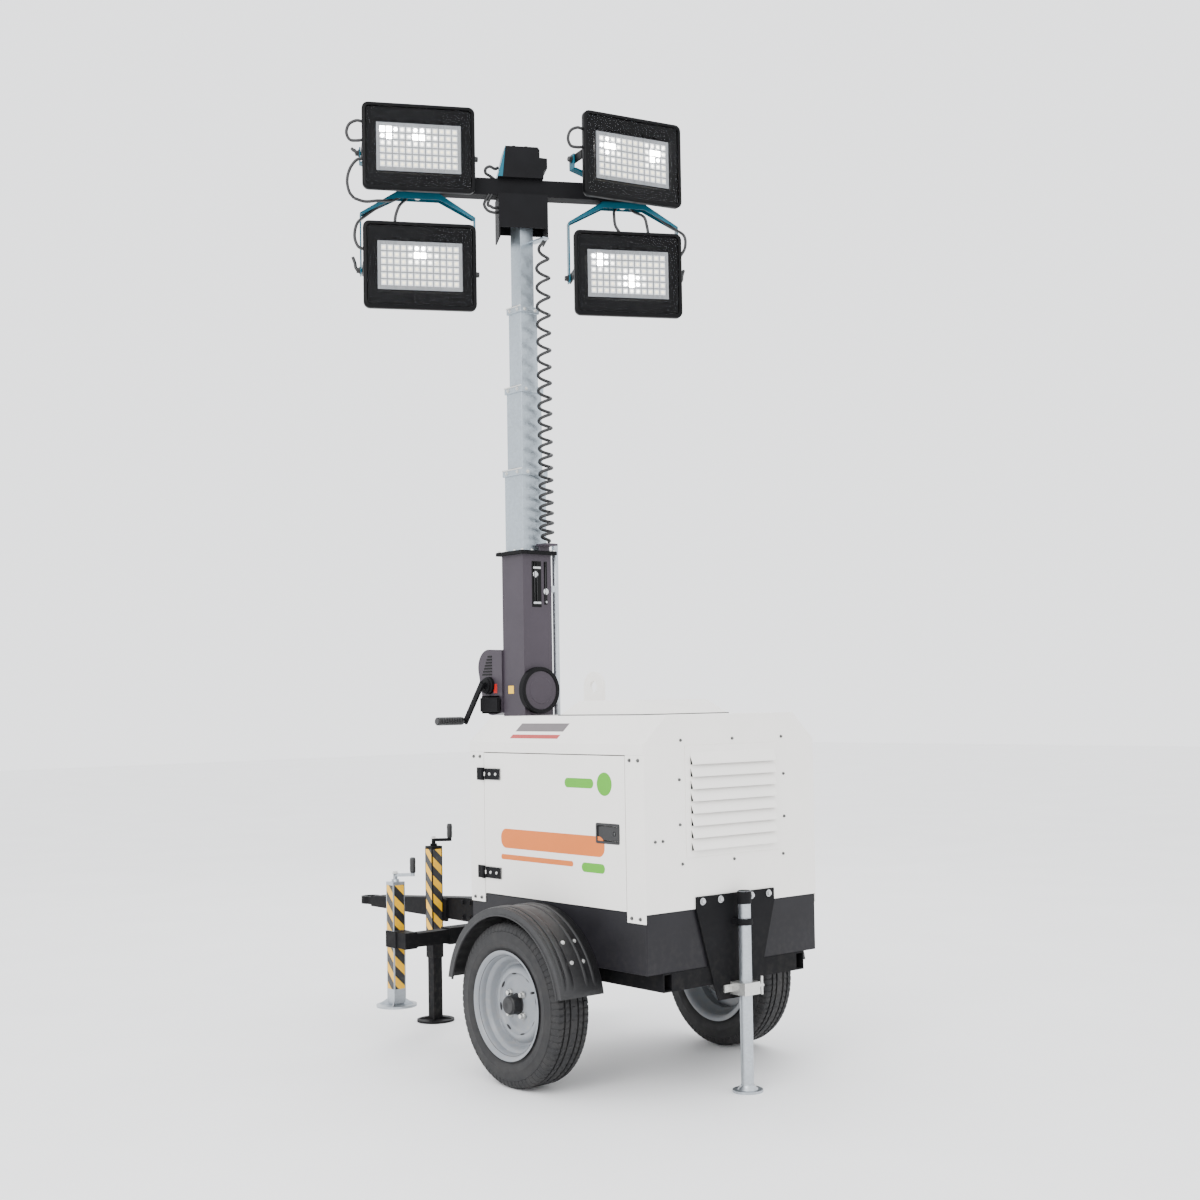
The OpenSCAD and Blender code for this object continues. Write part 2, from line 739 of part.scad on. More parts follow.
module radiator() color("#2c2c2e") {
    core_t = 40;
    half = 215;
    z0 = belt_z + 40;
    h = 440;
    x0 = body_x1 - sheet_t - 45 - core_t;
    shroud_x = fan_x - 6;
    translate([x0, -half, z0]) cube([core_t, 2 * half, h]);
    both_sides() translate([x0, half - 40, floor_z + tub_t]) cube([core_t, 40, z0 - floor_z - tub_t]);
    difference() {
        translate([shroud_x, -half + 20, fan_z - fan_r - 24])
            cube([x0 - shroud_x, 2 * half - 40, 2 * fan_r + 48]);
        translate([shroud_x + 4, -half + 26, fan_z - fan_r - 18])
            cube([x0 - shroud_x, 2 * half - 52, 2 * fan_r + 36]);
        translate([shroud_x - 1, 0, fan_z]) rotate([0, 90, 0]) cylinder(r = fan_r + 8, h = 20);
    }
}

module cooling_fan() color("#1d1d1f") {
    blade_n = 6;
    hub = 40;
    depth = 26;
    translate([fan_x, 0, fan_z]) rotate([0, 90, 0]) {
        cylinder(r = hub, h = depth);
        translate([0, 0, engine_x0 + engine_l - fan_x - fan_pin_in])
            cylinder(r = fan_pin_r, h = fan_x - engine_x0 - engine_l + fan_pin_in + 1);
        for (i = [0 : blade_n - 1]) rotate([0, 0, i * 360 / blade_n])
            translate([hub - 6, 0, depth / 2]) rotate([28, 0, 0])
            translate([0, -25, -2]) cube([fan_r - hub + 6, 50, 4]);
    }
}

module fuel_tank() color("#33363a") {
    x0 = body_x0 + 18 + sheet_t;
    l = lift_x - post_w / 2 - 12 - x0;
    z0 = floor_z + tub_t;
    bevel = tub_front_slope + 4;
    profile_y(-tub_half + 40, tub_half - 40)
        polygon([[x0 + bevel, z0], [x0 + l, z0], [x0 + l, z0 + 205], [x0, z0 + 205], [x0, z0 + bevel]]);
    translate([x0 + l / 2, -tub_half + 130, z0 + 205]) cylinder(r = 35, h = 40);
}

module battery() color("#202a33") {
    translate([body_x0 + 288, 170, floor_z + tub_t]) {
        cube([200, 170, 170]);
        for (x = [30, 170]) translate([x, 85, 170]) cylinder(r = 9, h = 15);
    }
}

module control_panel() color("#4a4f55") {
    l = 245;
    h = 290;
    d = 70;
    z0 = belt_z + 150;
    translate([body_x0 + sheet_t, -half_w + 45, z0]) cube([l, d, h]);
    for (i = [0 : 3]) translate([body_x0 + 50 + i * 50, -half_w + 45, z0 + 60])
        rod_y(9, -12, 0);
}

// ---- rear jack ----

module rear_jack_bracket() color("#161617") {
    plate_t = 6;
    top_half = 177;
    low_half = 106;
    bracket_top = belt_z + 38;
    bolt_z = bracket_top - 16;
    profile_x(body_x1, body_x1 + plate_t)
        polygon([[-top_half, bracket_top], [-top_half, belt_z - 6], [-low_half, rail_z],
            [-low_half * 0.8, clamp_z - 15], [low_half * 0.8, clamp_z - 15], [low_half, rail_z],
            [top_half, belt_z - 6], [top_half, bracket_top]]);
    for (y = [-0.85, -0.4, 0.4, 0.85]) translate([body_x1 + plate_t, y * top_half, bolt_z])
        rotate([0, 90, 0]) bolt_head(7);
    translate([0, 0, guide_z]) difference() {
        union() {
            translate([rear_jack_x, 0, 0]) cylinder(r = rear_leg_r + 6, h = guide_h);
            translate([body_x1 + plate_t, -20, 0]) cube([rear_jack_x - body_x1 - plate_t, 40, guide_h]);
        }
        translate([rear_jack_x, 0, -1]) cylinder(r = rear_leg_r + pin_gap, h = guide_h + 2);
    }
}

module rear_jack_clamp() color("#a9adb2") {
    plate_t = 6;
    clamp_x = body_x1 + plate_t;
    difference() {
        union() {
            translate([clamp_x, -clamp_half, clamp_z])
                cube([rear_jack_x + rear_leg_r + 11 - clamp_x, 2 * clamp_half, clamp_h]);
            translate([rear_jack_x, 0, clamp_z + clamp_h / 2]) rod_y(13, clamp_half, clamp_half + 16);
            translate([clamp_x, -clamp_half - 30, clamp_z + 8]) cube([6, 2 * clamp_half + 60, clamp_h - 16]);
        }
        translate([rear_jack_x, 0, clamp_z - 1]) cylinder(r = rear_leg_r + pin_gap, h = clamp_h + 2);
        translate([rear_jack_x, 0, clamp_z + clamp_h / 2])
            rod_y(clamp_screw_r + pin_gap, rear_leg_r - 2, clamp_half + 20);
    }
}

module rear_jack_leg() color("#b4b8bc") translate([rear_jack_x, 0, 0]) {
    difference() {
        translate([0, 0, foot_t]) cylinder(r = rear_leg_r, h = rear_leg_top - foot_t);
        translate([0, 0, foot_t + 5])
            cylinder(r = rear_leg_r - rear_leg_wall, h = rear_leg_top - foot_t);
    }
    cylinder(r = rear_foot_r, h = foot_t);
    translate([0, 0, rear_leg_top]) cylinder(r = rear_leg_r + 1.5, h = rear_cap_h);
}

module rear_jack_lever() color("#9da1a6") {
    translate([rear_jack_x, 0, clamp_z + clamp_h / 2]) {
        rod_y(clamp_screw_r, rear_leg_r + slide_gap, clamp_half + 44);
        translate([0, clamp_half + 38, -30]) cylinder(r = 5, h = 60);
    }
}

// ---- square jacks ----

// Outer tube of a jack, standing on z = 0, with a bored cap for the screw
module jack_tube() {
    difference() {
        union() {
            square_tube(jack_w, jack_wall, jack_tube_l - jack_cap_t);
            translate([-jack_w / 2, -jack_w / 2, jack_tube_l - jack_cap_t])
                cube([jack_w, jack_w, jack_cap_t]);
        }
        translate([0, 0, jack_tube_l - 2 * jack_cap_t])
            cylinder(r = jack_screw_r + pin_gap, h = 3 * jack_cap_t);
    }
}

// Sliding leg of a jack, with its foot on z = 0 and a nut at its top
module jack_leg(l, foot_r) {
    cylinder(r = foot_r, h = foot_t);
    translate([0, 0, foot_t]) square_tube(jack_leg_w, jack_leg_t, l);
    translate([0, 0, foot_t + l - nut_h]) difference() {
        translate([-jack_leg_w / 2 + jack_leg_t, -jack_leg_w / 2 + jack_leg_t, 0])
            cube([jack_leg_w - 2 * jack_leg_t, jack_leg_w - 2 * jack_leg_t, nut_h]);
        translate([0, 0, -1]) cylinder(r = jack_screw_r + pin_gap, h = nut_h + 2);
    }
}

// Crank of a jack with its long screw, with the top of the jack tube at z = 0
module jack_crank(screw_l) {
    arm_z = 18;
    arm_t = 12;
    translate([0, 0, -screw_l]) cylinder(r = jack_screw_r, h = screw_l + arm_z + arm_t);
    translate([0, 0, slide_gap]) cylinder(r = 14, h = 9);
    rotate([0, 0, 53]) {
        translate([0, -6, arm_z]) cube([crank_arm_l, 12, arm_t]);
        translate([crank_arm_l, 0, arm_z]) cylinder(r = 8, h = crank_grip_h);
    }
}

// Arm and jack holder of the right outrigger
module outrigger_arm() color("#1b1b1d") {
    arm_y0 = 8;
    arm_y1 = outrigger_reach - jack_w / 2 - 2;
    holder_y1 = outrigger_reach + jack_w / 2;
    plate_t = 5;
    translate([cross_x, (arm_y0 + arm_y1) / 2, cross_z - arm_w / 2])
        tube_y(arm_y1 - arm_y0, arm_w, arm_w, 4);
    translate([outrigger_x + jack_w / 2, arm_y1, cross_z - arm_w / 2 - 5])
        cube([cross_x + arm_w / 2 - outrigger_x - jack_w / 2, holder_y1 - arm_y1, arm_w + 10]);
    for (y = [outrigger_reach - jack_w / 2 - plate_t, holder_y1])
        translate([outrigger_x - jack_w / 2, y, cross_z - arm_w / 2 - 5])
            cube([jack_w + 20, plate_t, arm_w + 10]);
}

module outrigger_arm_left() mirror([0, 1, 0]) outrigger_arm();
module outrigger_arm_right() outrigger_arm();

// Places a child at an outrigger jack; side is -1 at the left and 1 at the right
module at_outrigger(side, z) translate([outrigger_x, side * outrigger_reach, z]) children();

module jack_tube_left() color("#c9a227") at_outrigger(-1, outrigger_tube_z) jack_tube();
module jack_tube_right() color("#c9a227") at_outrigger(1, outrigger_tube_z) jack_tube();
module jack_leg_left() color("#a9adb2") at_outrigger(-1, outrigger_foot_z)
    jack_leg(outrigger_leg_l, jack_foot_r);
module jack_leg_right() color("#a9adb2") at_outrigger(1, outrigger_foot_z)
    jack_leg(outrigger_leg_l, jack_foot_r);
module jack_crank_left() color("#a9adb2") at_outrigger(-1, outrigger_tube_z + jack_tube_l)
    jack_crank(outrigger_screw_l);
module jack_crank_right() color("#a9adb2") at_outrigger(1, outrigger_tube_z + jack_tube_l)
    jack_crank(outrigger_screw_l);

// Places a child at the drawbar jack
module at_tow_jack(z) translate([tow_jack_x, tow_jack_y, z]) children();

module tow_jack_tube() color("#c9a227") {
    bracket_l = 90;
    bracket_z = drawbar_z - 10;
    at_tow_jack(tow_jack_z) jack_tube();
    translate([tow_jack_x - bracket_l / 2, tow_jack_y + jack_w / 2, bracket_z])
        cube([bracket_l, -drawbar_w / 2 - tow_jack_y - jack_w / 2, 90]);
}

module tow_jack_leg() color("#1b1b1d") at_tow_jack(0) jack_leg(tow_leg_l, jack_foot_r);
module tow_jack_crank() color("#a9adb2") at_tow_jack(tow_jack_z + jack_tube_l)
    jack_crank(tow_screw_l);

// ---- mast ----

module mast_column() color("#4a4650") {
    inner = mast_w - 2 * mast_t;
    collar_w = mast_w + 2 * collar_out;
    shelf_x0 = section_w[0] / 2 + ring_out + 3;
    shelf_x1 = coil_x + coil_r;
    difference() {
        union() {
            translate([-mast_w / 2 - 35, -mast_w / 2 - 20, mast_foot_z])
                cube([mast_w + 70, mast_w + 40, mast_base_t]);
            translate([0, 0, mast_foot_z + mast_base_t])
                translate([-mast_w / 2, -mast_w / 2, 0])
                cube([mast_w, mast_w, mast_top_z - mast_foot_z - mast_base_t]);
            translate([0, 0, mast_top_z - collar_h])
                translate([-collar_w / 2, -collar_w / 2, 0]) cube([collar_w, collar_w, collar_h]);
        }
        translate([-inner / 2, -inner / 2, mast_foot_z + mast_base_t])
            cube([inner, inner, mast_top_z - collar_h - mast_foot_z - mast_base_t]);
        translate([0, 0, mast_top_z - collar_h])
            translate([-section_w[0] / 2 - slide_gap, -section_w[0] / 2 - slide_gap, -1])
            cube([section_w[0] + 2 * slide_gap, section_w[0] + 2 * slide_gap, collar_h + 2]);
    }
    translate([mast_w / 2 + collar_out - 6, coil_y - 25, mast_top_z - 1]) cube([6, 50, coil_z0 - mast_top_z]);
    translate([shelf_x0, coil_y - 30, coil_z0 - 8]) cube([shelf_x1 - shelf_x0, 60, 8]);
}

// Width inside the tube that section i slides in
function bore_w(i) = i == 0 ? mast_w - 2 * mast_t : section_w[i - 1] - 2 * section_t;

// Sliding section i: a square tube with a slider pad at its foot and a guide ring at its top
module mast_section(i) color("#aab1b5") {
    w = section_w[i];
    z0 = section_top_z[i] - section_l[i];
    lug_w = 20;
    translate([0, 0, z0]) square_tube(w, section_t, section_l[i] - (i < 3 ? 0 : cap_plate_t));
    translate([0, 0, z0]) square_ring(bore_w(i) - 2 * slide_gap, w - 1, pad_h);
    if (i < 3) {
        translate([0, 0, section_top_z[i] - ring_h]) {
            difference() {
                translate([-w / 2 - ring_out, -w / 2 - ring_out, 0])
                    cube([w + 2 * ring_out, w + 2 * ring_out, ring_h]);
                translate([0, 0, -1]) translate([-w / 2 + 1, -w / 2 + 1, 0]) cube([w - 2, w - 2, ring_h + 2]);
            }
            square_ring(w, section_w[i + 1] + 2 * slide_gap, ring_h);
            translate([-w / 2 - ring_out - lug_w, -w / 4, 4]) cube([lug_w, 12, ring_h - 8]);
        }
    } else {
        translate([0, 0, section_top_z[i] - cap_plate_t]) {
            translate([-w / 2, -w / 2, 0]) cube([w, w, cap_plate_t]);
            cylinder(r = swivel_pin_r, h = cap_plate_t + swivel_pin_h);
        }
        translate([w / 2 - 1, coil_y - 15, coil_z1]) cube([coil_x + coil_r - 5 - w / 2, 30, 6]);
    }
}

module mast_section_1() mast_section(0);
module mast_section_2() mast_section(1);
module mast_section_3() mast_section(2);
module mast_section_4() mast_section(3);

module winch_housing() color("#2b292e") {
    back_x = -mast_w / 2;
    difference() {
        profile_y(-winch_half, winch_half) hull() {
            translate([winch_x - 5, winch_z + 70]) circle(r = 70, $fn = 32);
            translate([winch_x + 15, winch_z - 55]) circle(r = 60, $fn = 32);
            translate([back_x - 12, winch_z - 105]) square([12, 240]);
        }
        translate([winch_x, 0, winch_z]) rod_y(winch_pin_r + pin_gap, -winch_half - 1, -winch_half + 60);
    }
    translate([mast_w / 2, -6, winch_z - 22]) rotate([0, 90, 0]) cylinder(r = 87, h = 20);
}

module winch_crank() color("#55585c") {
    hub_y = -winch_half - 35;
    swing = norm(crank_swing);
    swing_angle = atan2(crank_swing.y, crank_swing.x);
    translate([winch_x, 0, winch_z]) {
        rod_y(winch_pin_r, hub_y, -winch_half + 55);
        translate([0, hub_y, 0]) rotate([0, -swing_angle, 0]) translate([-14, -10, -11])
            cube([swing + 24, 10, 22]);
        translate([crank_swing.x, 0, crank_swing.y]) rod_y(8, hub_y - 140, hub_y - 5);
        translate([crank_swing.x, 0, crank_swing.y]) rod_y(15, hub_y - 140, hub_y - 22);
    }
}

module mast_conduit() color("#aab1b5") {
    translate([conduit_x, conduit_y, conduit_z0]) cylinder(r = conduit_r, h = coil_z0 + 8 - conduit_z0);
    for (z = [conduit_z0 + 120, 1280, 1700])
        translate([conduit_x - 12, mast_w / 2, z]) cube([24, conduit_y - mast_w / 2, 24]);
}

module mast_cable() color("#151515") {
    translate([coil_x, coil_y, coil_z0]) cylinder(r = coil_r, h = coil_z1 - coil_z0);
}

// ---- lamp head ----

// Turns a child with the lamp head
module on_head() rotate([0, 0, head_angle]) children();

module lamp_head() color("#141415") on_head() {
    cap_half_x = 60;
    cap_half_y = 95;
    cap_wall = 5;
    cap_z = coil_z1 + 50;
    leg_z = coil_z1 + 12;
    box_h = 120;
    hub_z = section_top_z[3] + slide_gap;
    difference() {
        union() {
            translate([0, 0, bar_z]) tube_y(2 * bar_half, bar_w, bar_w, bar_t);
            translate([0, 0, hub_z]) cylinder(r = 28, h = bar_z + bar_w - hub_z - bar_t + 1);
            translate([-cap_half_x, -cap_half_y, bar_z - 8]) cube([2 * cap_half_x, 2 * cap_half_y, 8.5]);
            for (side = [-1, 1]) {
                translate([-cap_half_x, side * (cap_half_y - cap_wall / 2) - cap_wall / 2, leg_z])
                    cube([2 * cap_half_x, cap_wall, bar_z - leg_z]);
                translate([side * (cap_half_x - cap_wall / 2) - cap_wall / 2, -cap_half_y, cap_z])
                    cube([cap_wall, 2 * cap_half_y, bar_z - cap_z]);
            }
            profile_x(-cap_half_x, cap_half_x)
                polygon([[-cap_half_y, bar_top - 0.5], [-65, bar_top + box_h], [58, bar_top + box_h],
                    [66, bar_top + box_h - 10], [66, bar_top + 80], [cap_half_y, bar_top + 78],
                    [cap_half_y, bar_top + 40], [80, bar_top + 28], [80, bar_top - 0.5]]);
        }
        translate([-cap_half_x + cap_wall, -60, bar_top + 3])
            cube([2 * (cap_half_x - cap_wall), 115, box_h - 3 - cap_wall]);
        translate([0, 0, hub_z - 1]) cylinder(r = swivel_pin_r + pin_gap, h = swivel_pin_h + 2);
        for (y = [-lamp_reach, lamp_reach]) translate([0, y, bar_z - 1])
            cylinder(r = bolt_r + pin_gap, h = bar_w + 2);
    }
}

// Outline of a yoke in Y and Z: a base, two slanted shoulders and two arms; rise is the pivot height
module yoke_outline(rise, shoulder) {
    inner = lamp_w / 2 + yoke_gap;
    outer = inner + yoke_t;
    end = rise + 18;
    polygon([[-yoke_base_half, 0], [yoke_base_half, 0], [outer, shoulder], [outer, end],
        [inner, end], [inner, shoulder + 2], [yoke_base_half - 2, yoke_t],
        [-yoke_base_half + 2, yoke_t], [-inner, shoulder + 2], [-inner, end], [-outer, end],
        [-outer, shoulder]]);
}

// A yoke that stands on z = 0 with its swivel bolt below and the lamp pivots at height rise
module yoke(rise, shoulder) color("#1d5f73") {
    reach = lamp_w / 2 + yoke_gap + yoke_t;
    difference() {
        profile_x(-yoke_arm_d / 2, yoke_arm_d / 2) yoke_outline(rise, shoulder);
        translate([0, 0, rise]) rod_y(pivot_r + pin_gap, -reach - 1, reach + 1);
    }
    translate([0, 0, -20]) cylinder(r = bolt_r, h = 20 + yoke_t / 2);
    translate([0, 0, yoke_t]) cylinder(r = bolt_r + 3, h = 7);
}

// Frame, rear housing, LED board, ears and pivots of a lamp, with the pivot axis on Y and the light along +X
module lamp() color("#161617") {
    half_lamp = lamp_w / 2;
    front = frame_back + lamp_d;
    ear_t = 6;
    corner = 20;
    knob_y = half_lamp + yoke_gap + yoke_t + 1;
    difference() {
        union() {
            profile_x(frame_back, front) rounded_rect(lamp_w, lamp_h, corner);
            translate([-housing_back, -housing_w / 2, -housing_h / 2])
                cube([frame_back + housing_back, housing_w, housing_h]);
            for (side = [-1, 1]) translate([-16, side * (half_lamp - ear_t / 2) - ear_t / 2, -18])
                cube([frame_back + 18, ear_t, 36]);
        }
        profile_x(frame_back + lamp_wall, front + 1)
            rounded_rect(lamp_w - 2 * lamp_wall, lamp_h - 2 * lamp_wall, corner - lamp_wall);
        translate([-housing_back + lamp_wall, -housing_w / 2 + lamp_wall, -housing_h / 2 + lamp_wall])
            cube([frame_back + housing_back, housing_w - 2 * lamp_wall, housing_h - 2 * lamp_wall]);
    }
    profile_x(frame_back + lamp_wall, frame_back + lamp_wall + 3)
        rounded_rect(lamp_w - 2 * lamp_wall - 4, lamp_h - 2 * lamp_wall - 4, corner - lamp_wall - 2);
    for (side = [-1, 1]) mirror([0, side < 0 ? 1 : 0, 0]) {
        rod_y(pivot_r, half_lamp - ear_t, knob_y + 10);
        rod_y(14, knob_y, knob_y + 14);
    }
}

// Places a child at an upper lamp bolt; side is -1 at the left and 1 at the right
module at_upper(side, swivel) on_head() translate([0, side * lamp_reach, bar_top])
    rotate([0, 0, swivel]) children();

// Places a child at a lower lamp bolt, upright and upside down for the yoke
module at_lower(side) on_head() translate([0, side * lamp_reach, bar_z]) children();

module yoke_upper_left() at_upper(-1, 0) yoke(upper_pivot, upper_shoulder);
module yoke_upper_right() at_upper(1, upper_right_swivel) yoke(upper_pivot, upper_shoulder);
module yoke_lower_left() at_lower(-1) mirror([0, 0, 1]) yoke(lower_pivot, lower_shoulder);
module yoke_lower_right() at_lower(1) mirror([0, 0, 1]) yoke(lower_pivot, lower_shoulder);

module lamp_upper_left() at_upper(-1, 0) translate([0, 0, upper_pivot]) lamp();
module lamp_upper_right() at_upper(1, upper_right_swivel) translate([0, 0, upper_pivot]) lamp();
module lamp_lower_left() at_lower(-1) translate([0, 0, -lower_pivot]) lamp();
module lamp_lower_right() at_lower(1) translate([0, 0, -lower_pivot]) lamp();

// ---- nodes ----

chassis_frame();
base_tub();
drawbar();
axle();
mudguards();
end_panels();
louvre_panel();
roof_panel();
roof_hood();
lifting_eye();
panel_bolts();
door_hinges();
engine();
alternator();
radiator();
cooling_fan();
fuel_tank();
battery();
control_panel();
door_left();
door_right();
latch_left();
latch_right();
rear_jack_bracket();
rear_jack_clamp();
rear_jack_leg();
rear_jack_lever();
outrigger_arm_left();
outrigger_arm_right();
jack_tube_left();
jack_tube_right();
jack_leg_left();
jack_leg_right();
jack_crank_left();
jack_crank_right();
tow_jack_tube();
tow_jack_leg();
tow_jack_crank();
tyre_left();
tyre_right();
rim_left();
rim_right();
mast_column();
mast_section_1();
mast_section_2();
mast_section_3();
mast_section_4();
winch_housing();
winch_crank();
mast_conduit();
mast_cable();
lamp_head();
yoke_upper_left();
yoke_upper_right();
yoke_lower_left();
yoke_lower_right();
lamp_upper_left();
lamp_upper_right();
lamp_lower_left();
lamp_lower_right();
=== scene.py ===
"""Looks of a towable light tower: a diesel generator on a trailer with a telescopic mast and four lamps.

Everything is in metres, in the frame of the CAD model: +X runs to the rear, -Y is the near side and +Z
is up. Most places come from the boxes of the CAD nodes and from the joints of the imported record. The
rest are plain numbers that were chosen to fit the CAD model as it is, so they don't follow a new size.
"""

import json
import math

import bmesh
import bpy
from mathutils import Matrix, Vector


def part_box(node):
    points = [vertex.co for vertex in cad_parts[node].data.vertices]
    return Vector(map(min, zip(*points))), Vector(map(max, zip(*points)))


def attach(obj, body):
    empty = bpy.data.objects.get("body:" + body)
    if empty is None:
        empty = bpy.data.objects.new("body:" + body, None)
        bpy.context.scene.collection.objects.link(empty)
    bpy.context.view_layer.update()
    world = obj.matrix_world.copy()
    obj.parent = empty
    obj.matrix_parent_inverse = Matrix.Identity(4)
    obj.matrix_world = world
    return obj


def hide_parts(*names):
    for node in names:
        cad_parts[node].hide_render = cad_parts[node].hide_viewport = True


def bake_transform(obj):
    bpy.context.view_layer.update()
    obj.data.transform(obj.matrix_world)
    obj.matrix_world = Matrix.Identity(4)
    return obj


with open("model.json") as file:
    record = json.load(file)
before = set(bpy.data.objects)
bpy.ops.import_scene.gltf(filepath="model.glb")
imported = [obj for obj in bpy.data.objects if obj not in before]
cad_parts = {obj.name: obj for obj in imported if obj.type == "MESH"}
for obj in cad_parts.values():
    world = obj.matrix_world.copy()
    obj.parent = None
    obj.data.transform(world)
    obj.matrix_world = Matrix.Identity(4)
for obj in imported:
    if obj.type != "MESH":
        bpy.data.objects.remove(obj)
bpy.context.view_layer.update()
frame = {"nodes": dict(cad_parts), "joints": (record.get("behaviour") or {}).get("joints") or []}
NODES = frame["nodes"]
JOINTS = {j["name"]: j for j in frame["joints"]}
SIDES = (("left", -1), ("right", 1))
MM = 0.001
LEAD = 0.0115  # diameter of a lamp lead
YOKE_SHEET = 0.0025
STICKER_LIFT, STICKER_SINK = 0.0004, 0.0003
FIN_DEPTH, FIN_DEPTH_BY_BAR = 0.026, 0.012  # the upper right lamp tilts close to the bar
RIB_RISE, TOW_RIB_RISE = 0.028, 0.010  # height of the foot ribs
STRIPE_PITCH = 0.074  # height of one yellow and one black bar of the hazard tape
LAMP_FRAME_DEPTH = 0.035
JACK_HALF = 0.025  # half the width of a jack tube
TAPE_HALF, TAPE_TOP, TAPE_BOTTOM = 0.0205, 0.012, 0.395  # half width, and ends below the top of the tube
TOW_CLAMP_Z = (0.395, 0.495)  # where the drawbar covers the jack
CRANK_DEGREES, CRANK_ARM = 53, 0.065
SKIN = 0.387  # Y of the doors' outer faces
scene = bpy.context.scene


# ---- camera and lights ----

def aim(obj, eye, forward, roll=0.0):
    """Puts an object at eye, looking along forward, turned by roll about its own view line."""
    forward = Vector(forward).normalized()
    side = Vector((forward.y, -forward.x, 0)).normalized()
    up = side.cross(forward)
    right = math.cos(roll) * side + math.sin(roll) * up
    top = -math.sin(roll) * side + math.cos(roll) * up
    turn = Matrix((right, top, -forward)).transposed().to_4x4()
    obj.matrix_world = Matrix.Translation(Vector(eye)) @ turn


CAMERA_AT = (4.942, -3.692, 1.279)
CAMERA_YAW, CAMERA_PITCH, CAMERA_ROLL = 2.4332, 0.037, -0.0171
camera = bpy.data.objects.new("camera", bpy.data.cameras.new("camera"))
scene.collection.objects.link(camera)
scene.camera = camera
camera.data.lens = 48.12
camera.data.sensor_width = 36
camera.data.shift_x, camera.data.shift_y = -0.029, 0.034
camera.data.clip_end = 100
aim(camera, CAMERA_AT, (math.cos(CAMERA_PITCH) * math.cos(CAMERA_YAW),
                        math.cos(CAMERA_PITCH) * math.sin(CAMERA_YAW),
                        math.sin(CAMERA_PITCH)), CAMERA_ROLL)


def area_light(name, eye, target, size, power):
    light = bpy.data.lights.new(name, "AREA")
    light.shape = "SQUARE"
    light.size = size
    light.energy = power
    obj = bpy.data.objects.new(name, light)
    scene.collection.objects.link(obj)
    aim(obj, eye, Vector(target) - Vector(eye))


for light in (("key", (3.2, -5.2, 5.2), (0.2, 0, 1.2), 3.4, 250), ("fill", (6.2, 1.6, 3.4), (0.3, 0, 1.3), 3.6, 30),
              ("rim", (-4.6, 3.4, 4.6), (0.1, 0, 1.6), 3.0, 60), ("top", (0.3, 0.2, 6.6), (0.3, 0.1, 0), 3.6, 30)):
    area_light(*light)

world = bpy.data.worlds.new("studio")
scene.world = world
world.use_nodes = True
world.node_tree.nodes["Background"].inputs["Color"].default_value = (0.97, 0.98, 1.0, 1)
world.node_tree.nodes["Background"].inputs["Strength"].default_value = 2.3


# ---- procedural materials ----

class Shader:
    """A Principled material with small helpers for its nodes."""

    def __init__(self, name, rough=0.5, metallic=0.0, color=(0.5, 0.5, 0.5)):
        self.mat = bpy.data.materials.new(name)
        self.mat.use_nodes = True
        self.tree = self.mat.node_tree
        self.bsdf = self.tree.nodes["Principled BSDF"]
        self.set("Roughness", rough)
        self.set("Metallic", metallic)
        self.set("Base Color", (*color, 1))
        self.coords = self.node("ShaderNodeTexCoord").outputs["Object"]

    def node(self, kind, **inputs):
        made = self.tree.nodes.new(kind)
        for key, value in inputs.items():
            socket = made.inputs[key.replace("_", " ")] if isinstance(key, str) else made.inputs[key]
            if isinstance(value, bpy.types.NodeSocket):
                self.tree.links.new(value, socket)
            else:
                socket.default_value = value
        return made

    def set(self, socket, value):
        if isinstance(value, bpy.types.NodeSocket):
            self.tree.links.new(value, self.bsdf.inputs[socket])
        else:
            self.bsdf.inputs[socket].default_value = value

    def noise(self, scale, detail=3.0, stretch=None):
        vector = self.coords
        if stretch:
            vector = self.node("ShaderNodeMapping", Vector=self.coords, Scale=stretch).outputs[0]
        return self.node("ShaderNodeTexNoise", Vector=vector, Scale=scale, Detail=detail).outputs["Fac"]

    def ramp(self, factor, *stops):
        made = self.node("ShaderNodeValToRGB", Fac=factor)
        ramp = made.color_ramp
        while len(ramp.elements) < len(stops):
            ramp.elements.new(0.5)
        for element, (place, color) in zip(ramp.elements, stops):
            element.position = place
            element.color = (*color, 1)
        return made.outputs["Color"]

    def math(self, operation, first, second=0.0):
        made = self.tree.nodes.new("ShaderNodeMath")
        made.operation = operation
        for socket, value in zip(made.inputs, (first, second)):
            if isinstance(value, bpy.types.NodeSocket):
                self.tree.links.new(value, socket)
            else:
                socket.default_value = value
        return made.outputs[0]

    def span(self, factor, low, high, start=0.0, end=1.0):
        made = self.node("ShaderNodeMapRange", Value=factor)
        made.inputs["From Min"].default_value = start
        made.inputs["From Max"].default_value = end
        made.inputs["To Min"].default_value = low
        made.inputs["To Max"].default_value = high
        return made.outputs[0]

    def mix(self, factor, first, second):
        made = self.tree.nodes.new("ShaderNodeMix")
        made.data_type = "RGBA"
        for name, value in (("Factor", factor), ("A", first), ("B", second)):
            socket = [s for s in made.inputs if s.name == name and s.enabled][0]
            if isinstance(value, bpy.types.NodeSocket):
                self.tree.links.new(value, socket)
            else:
                socket.default_value = value if name == "Factor" else (*value, 1)
        return [s for s in made.outputs if s.enabled][0]

    def bump(self, height, strength, distance=0.001):
        made = self.node("ShaderNodeBump", Height=height, Strength=strength, Distance=distance)
        self.set("Normal", made.outputs[0])

    def axis(self, name):
        return self.node("ShaderNodeSeparateXYZ", Vector=self.coords).outputs[name]


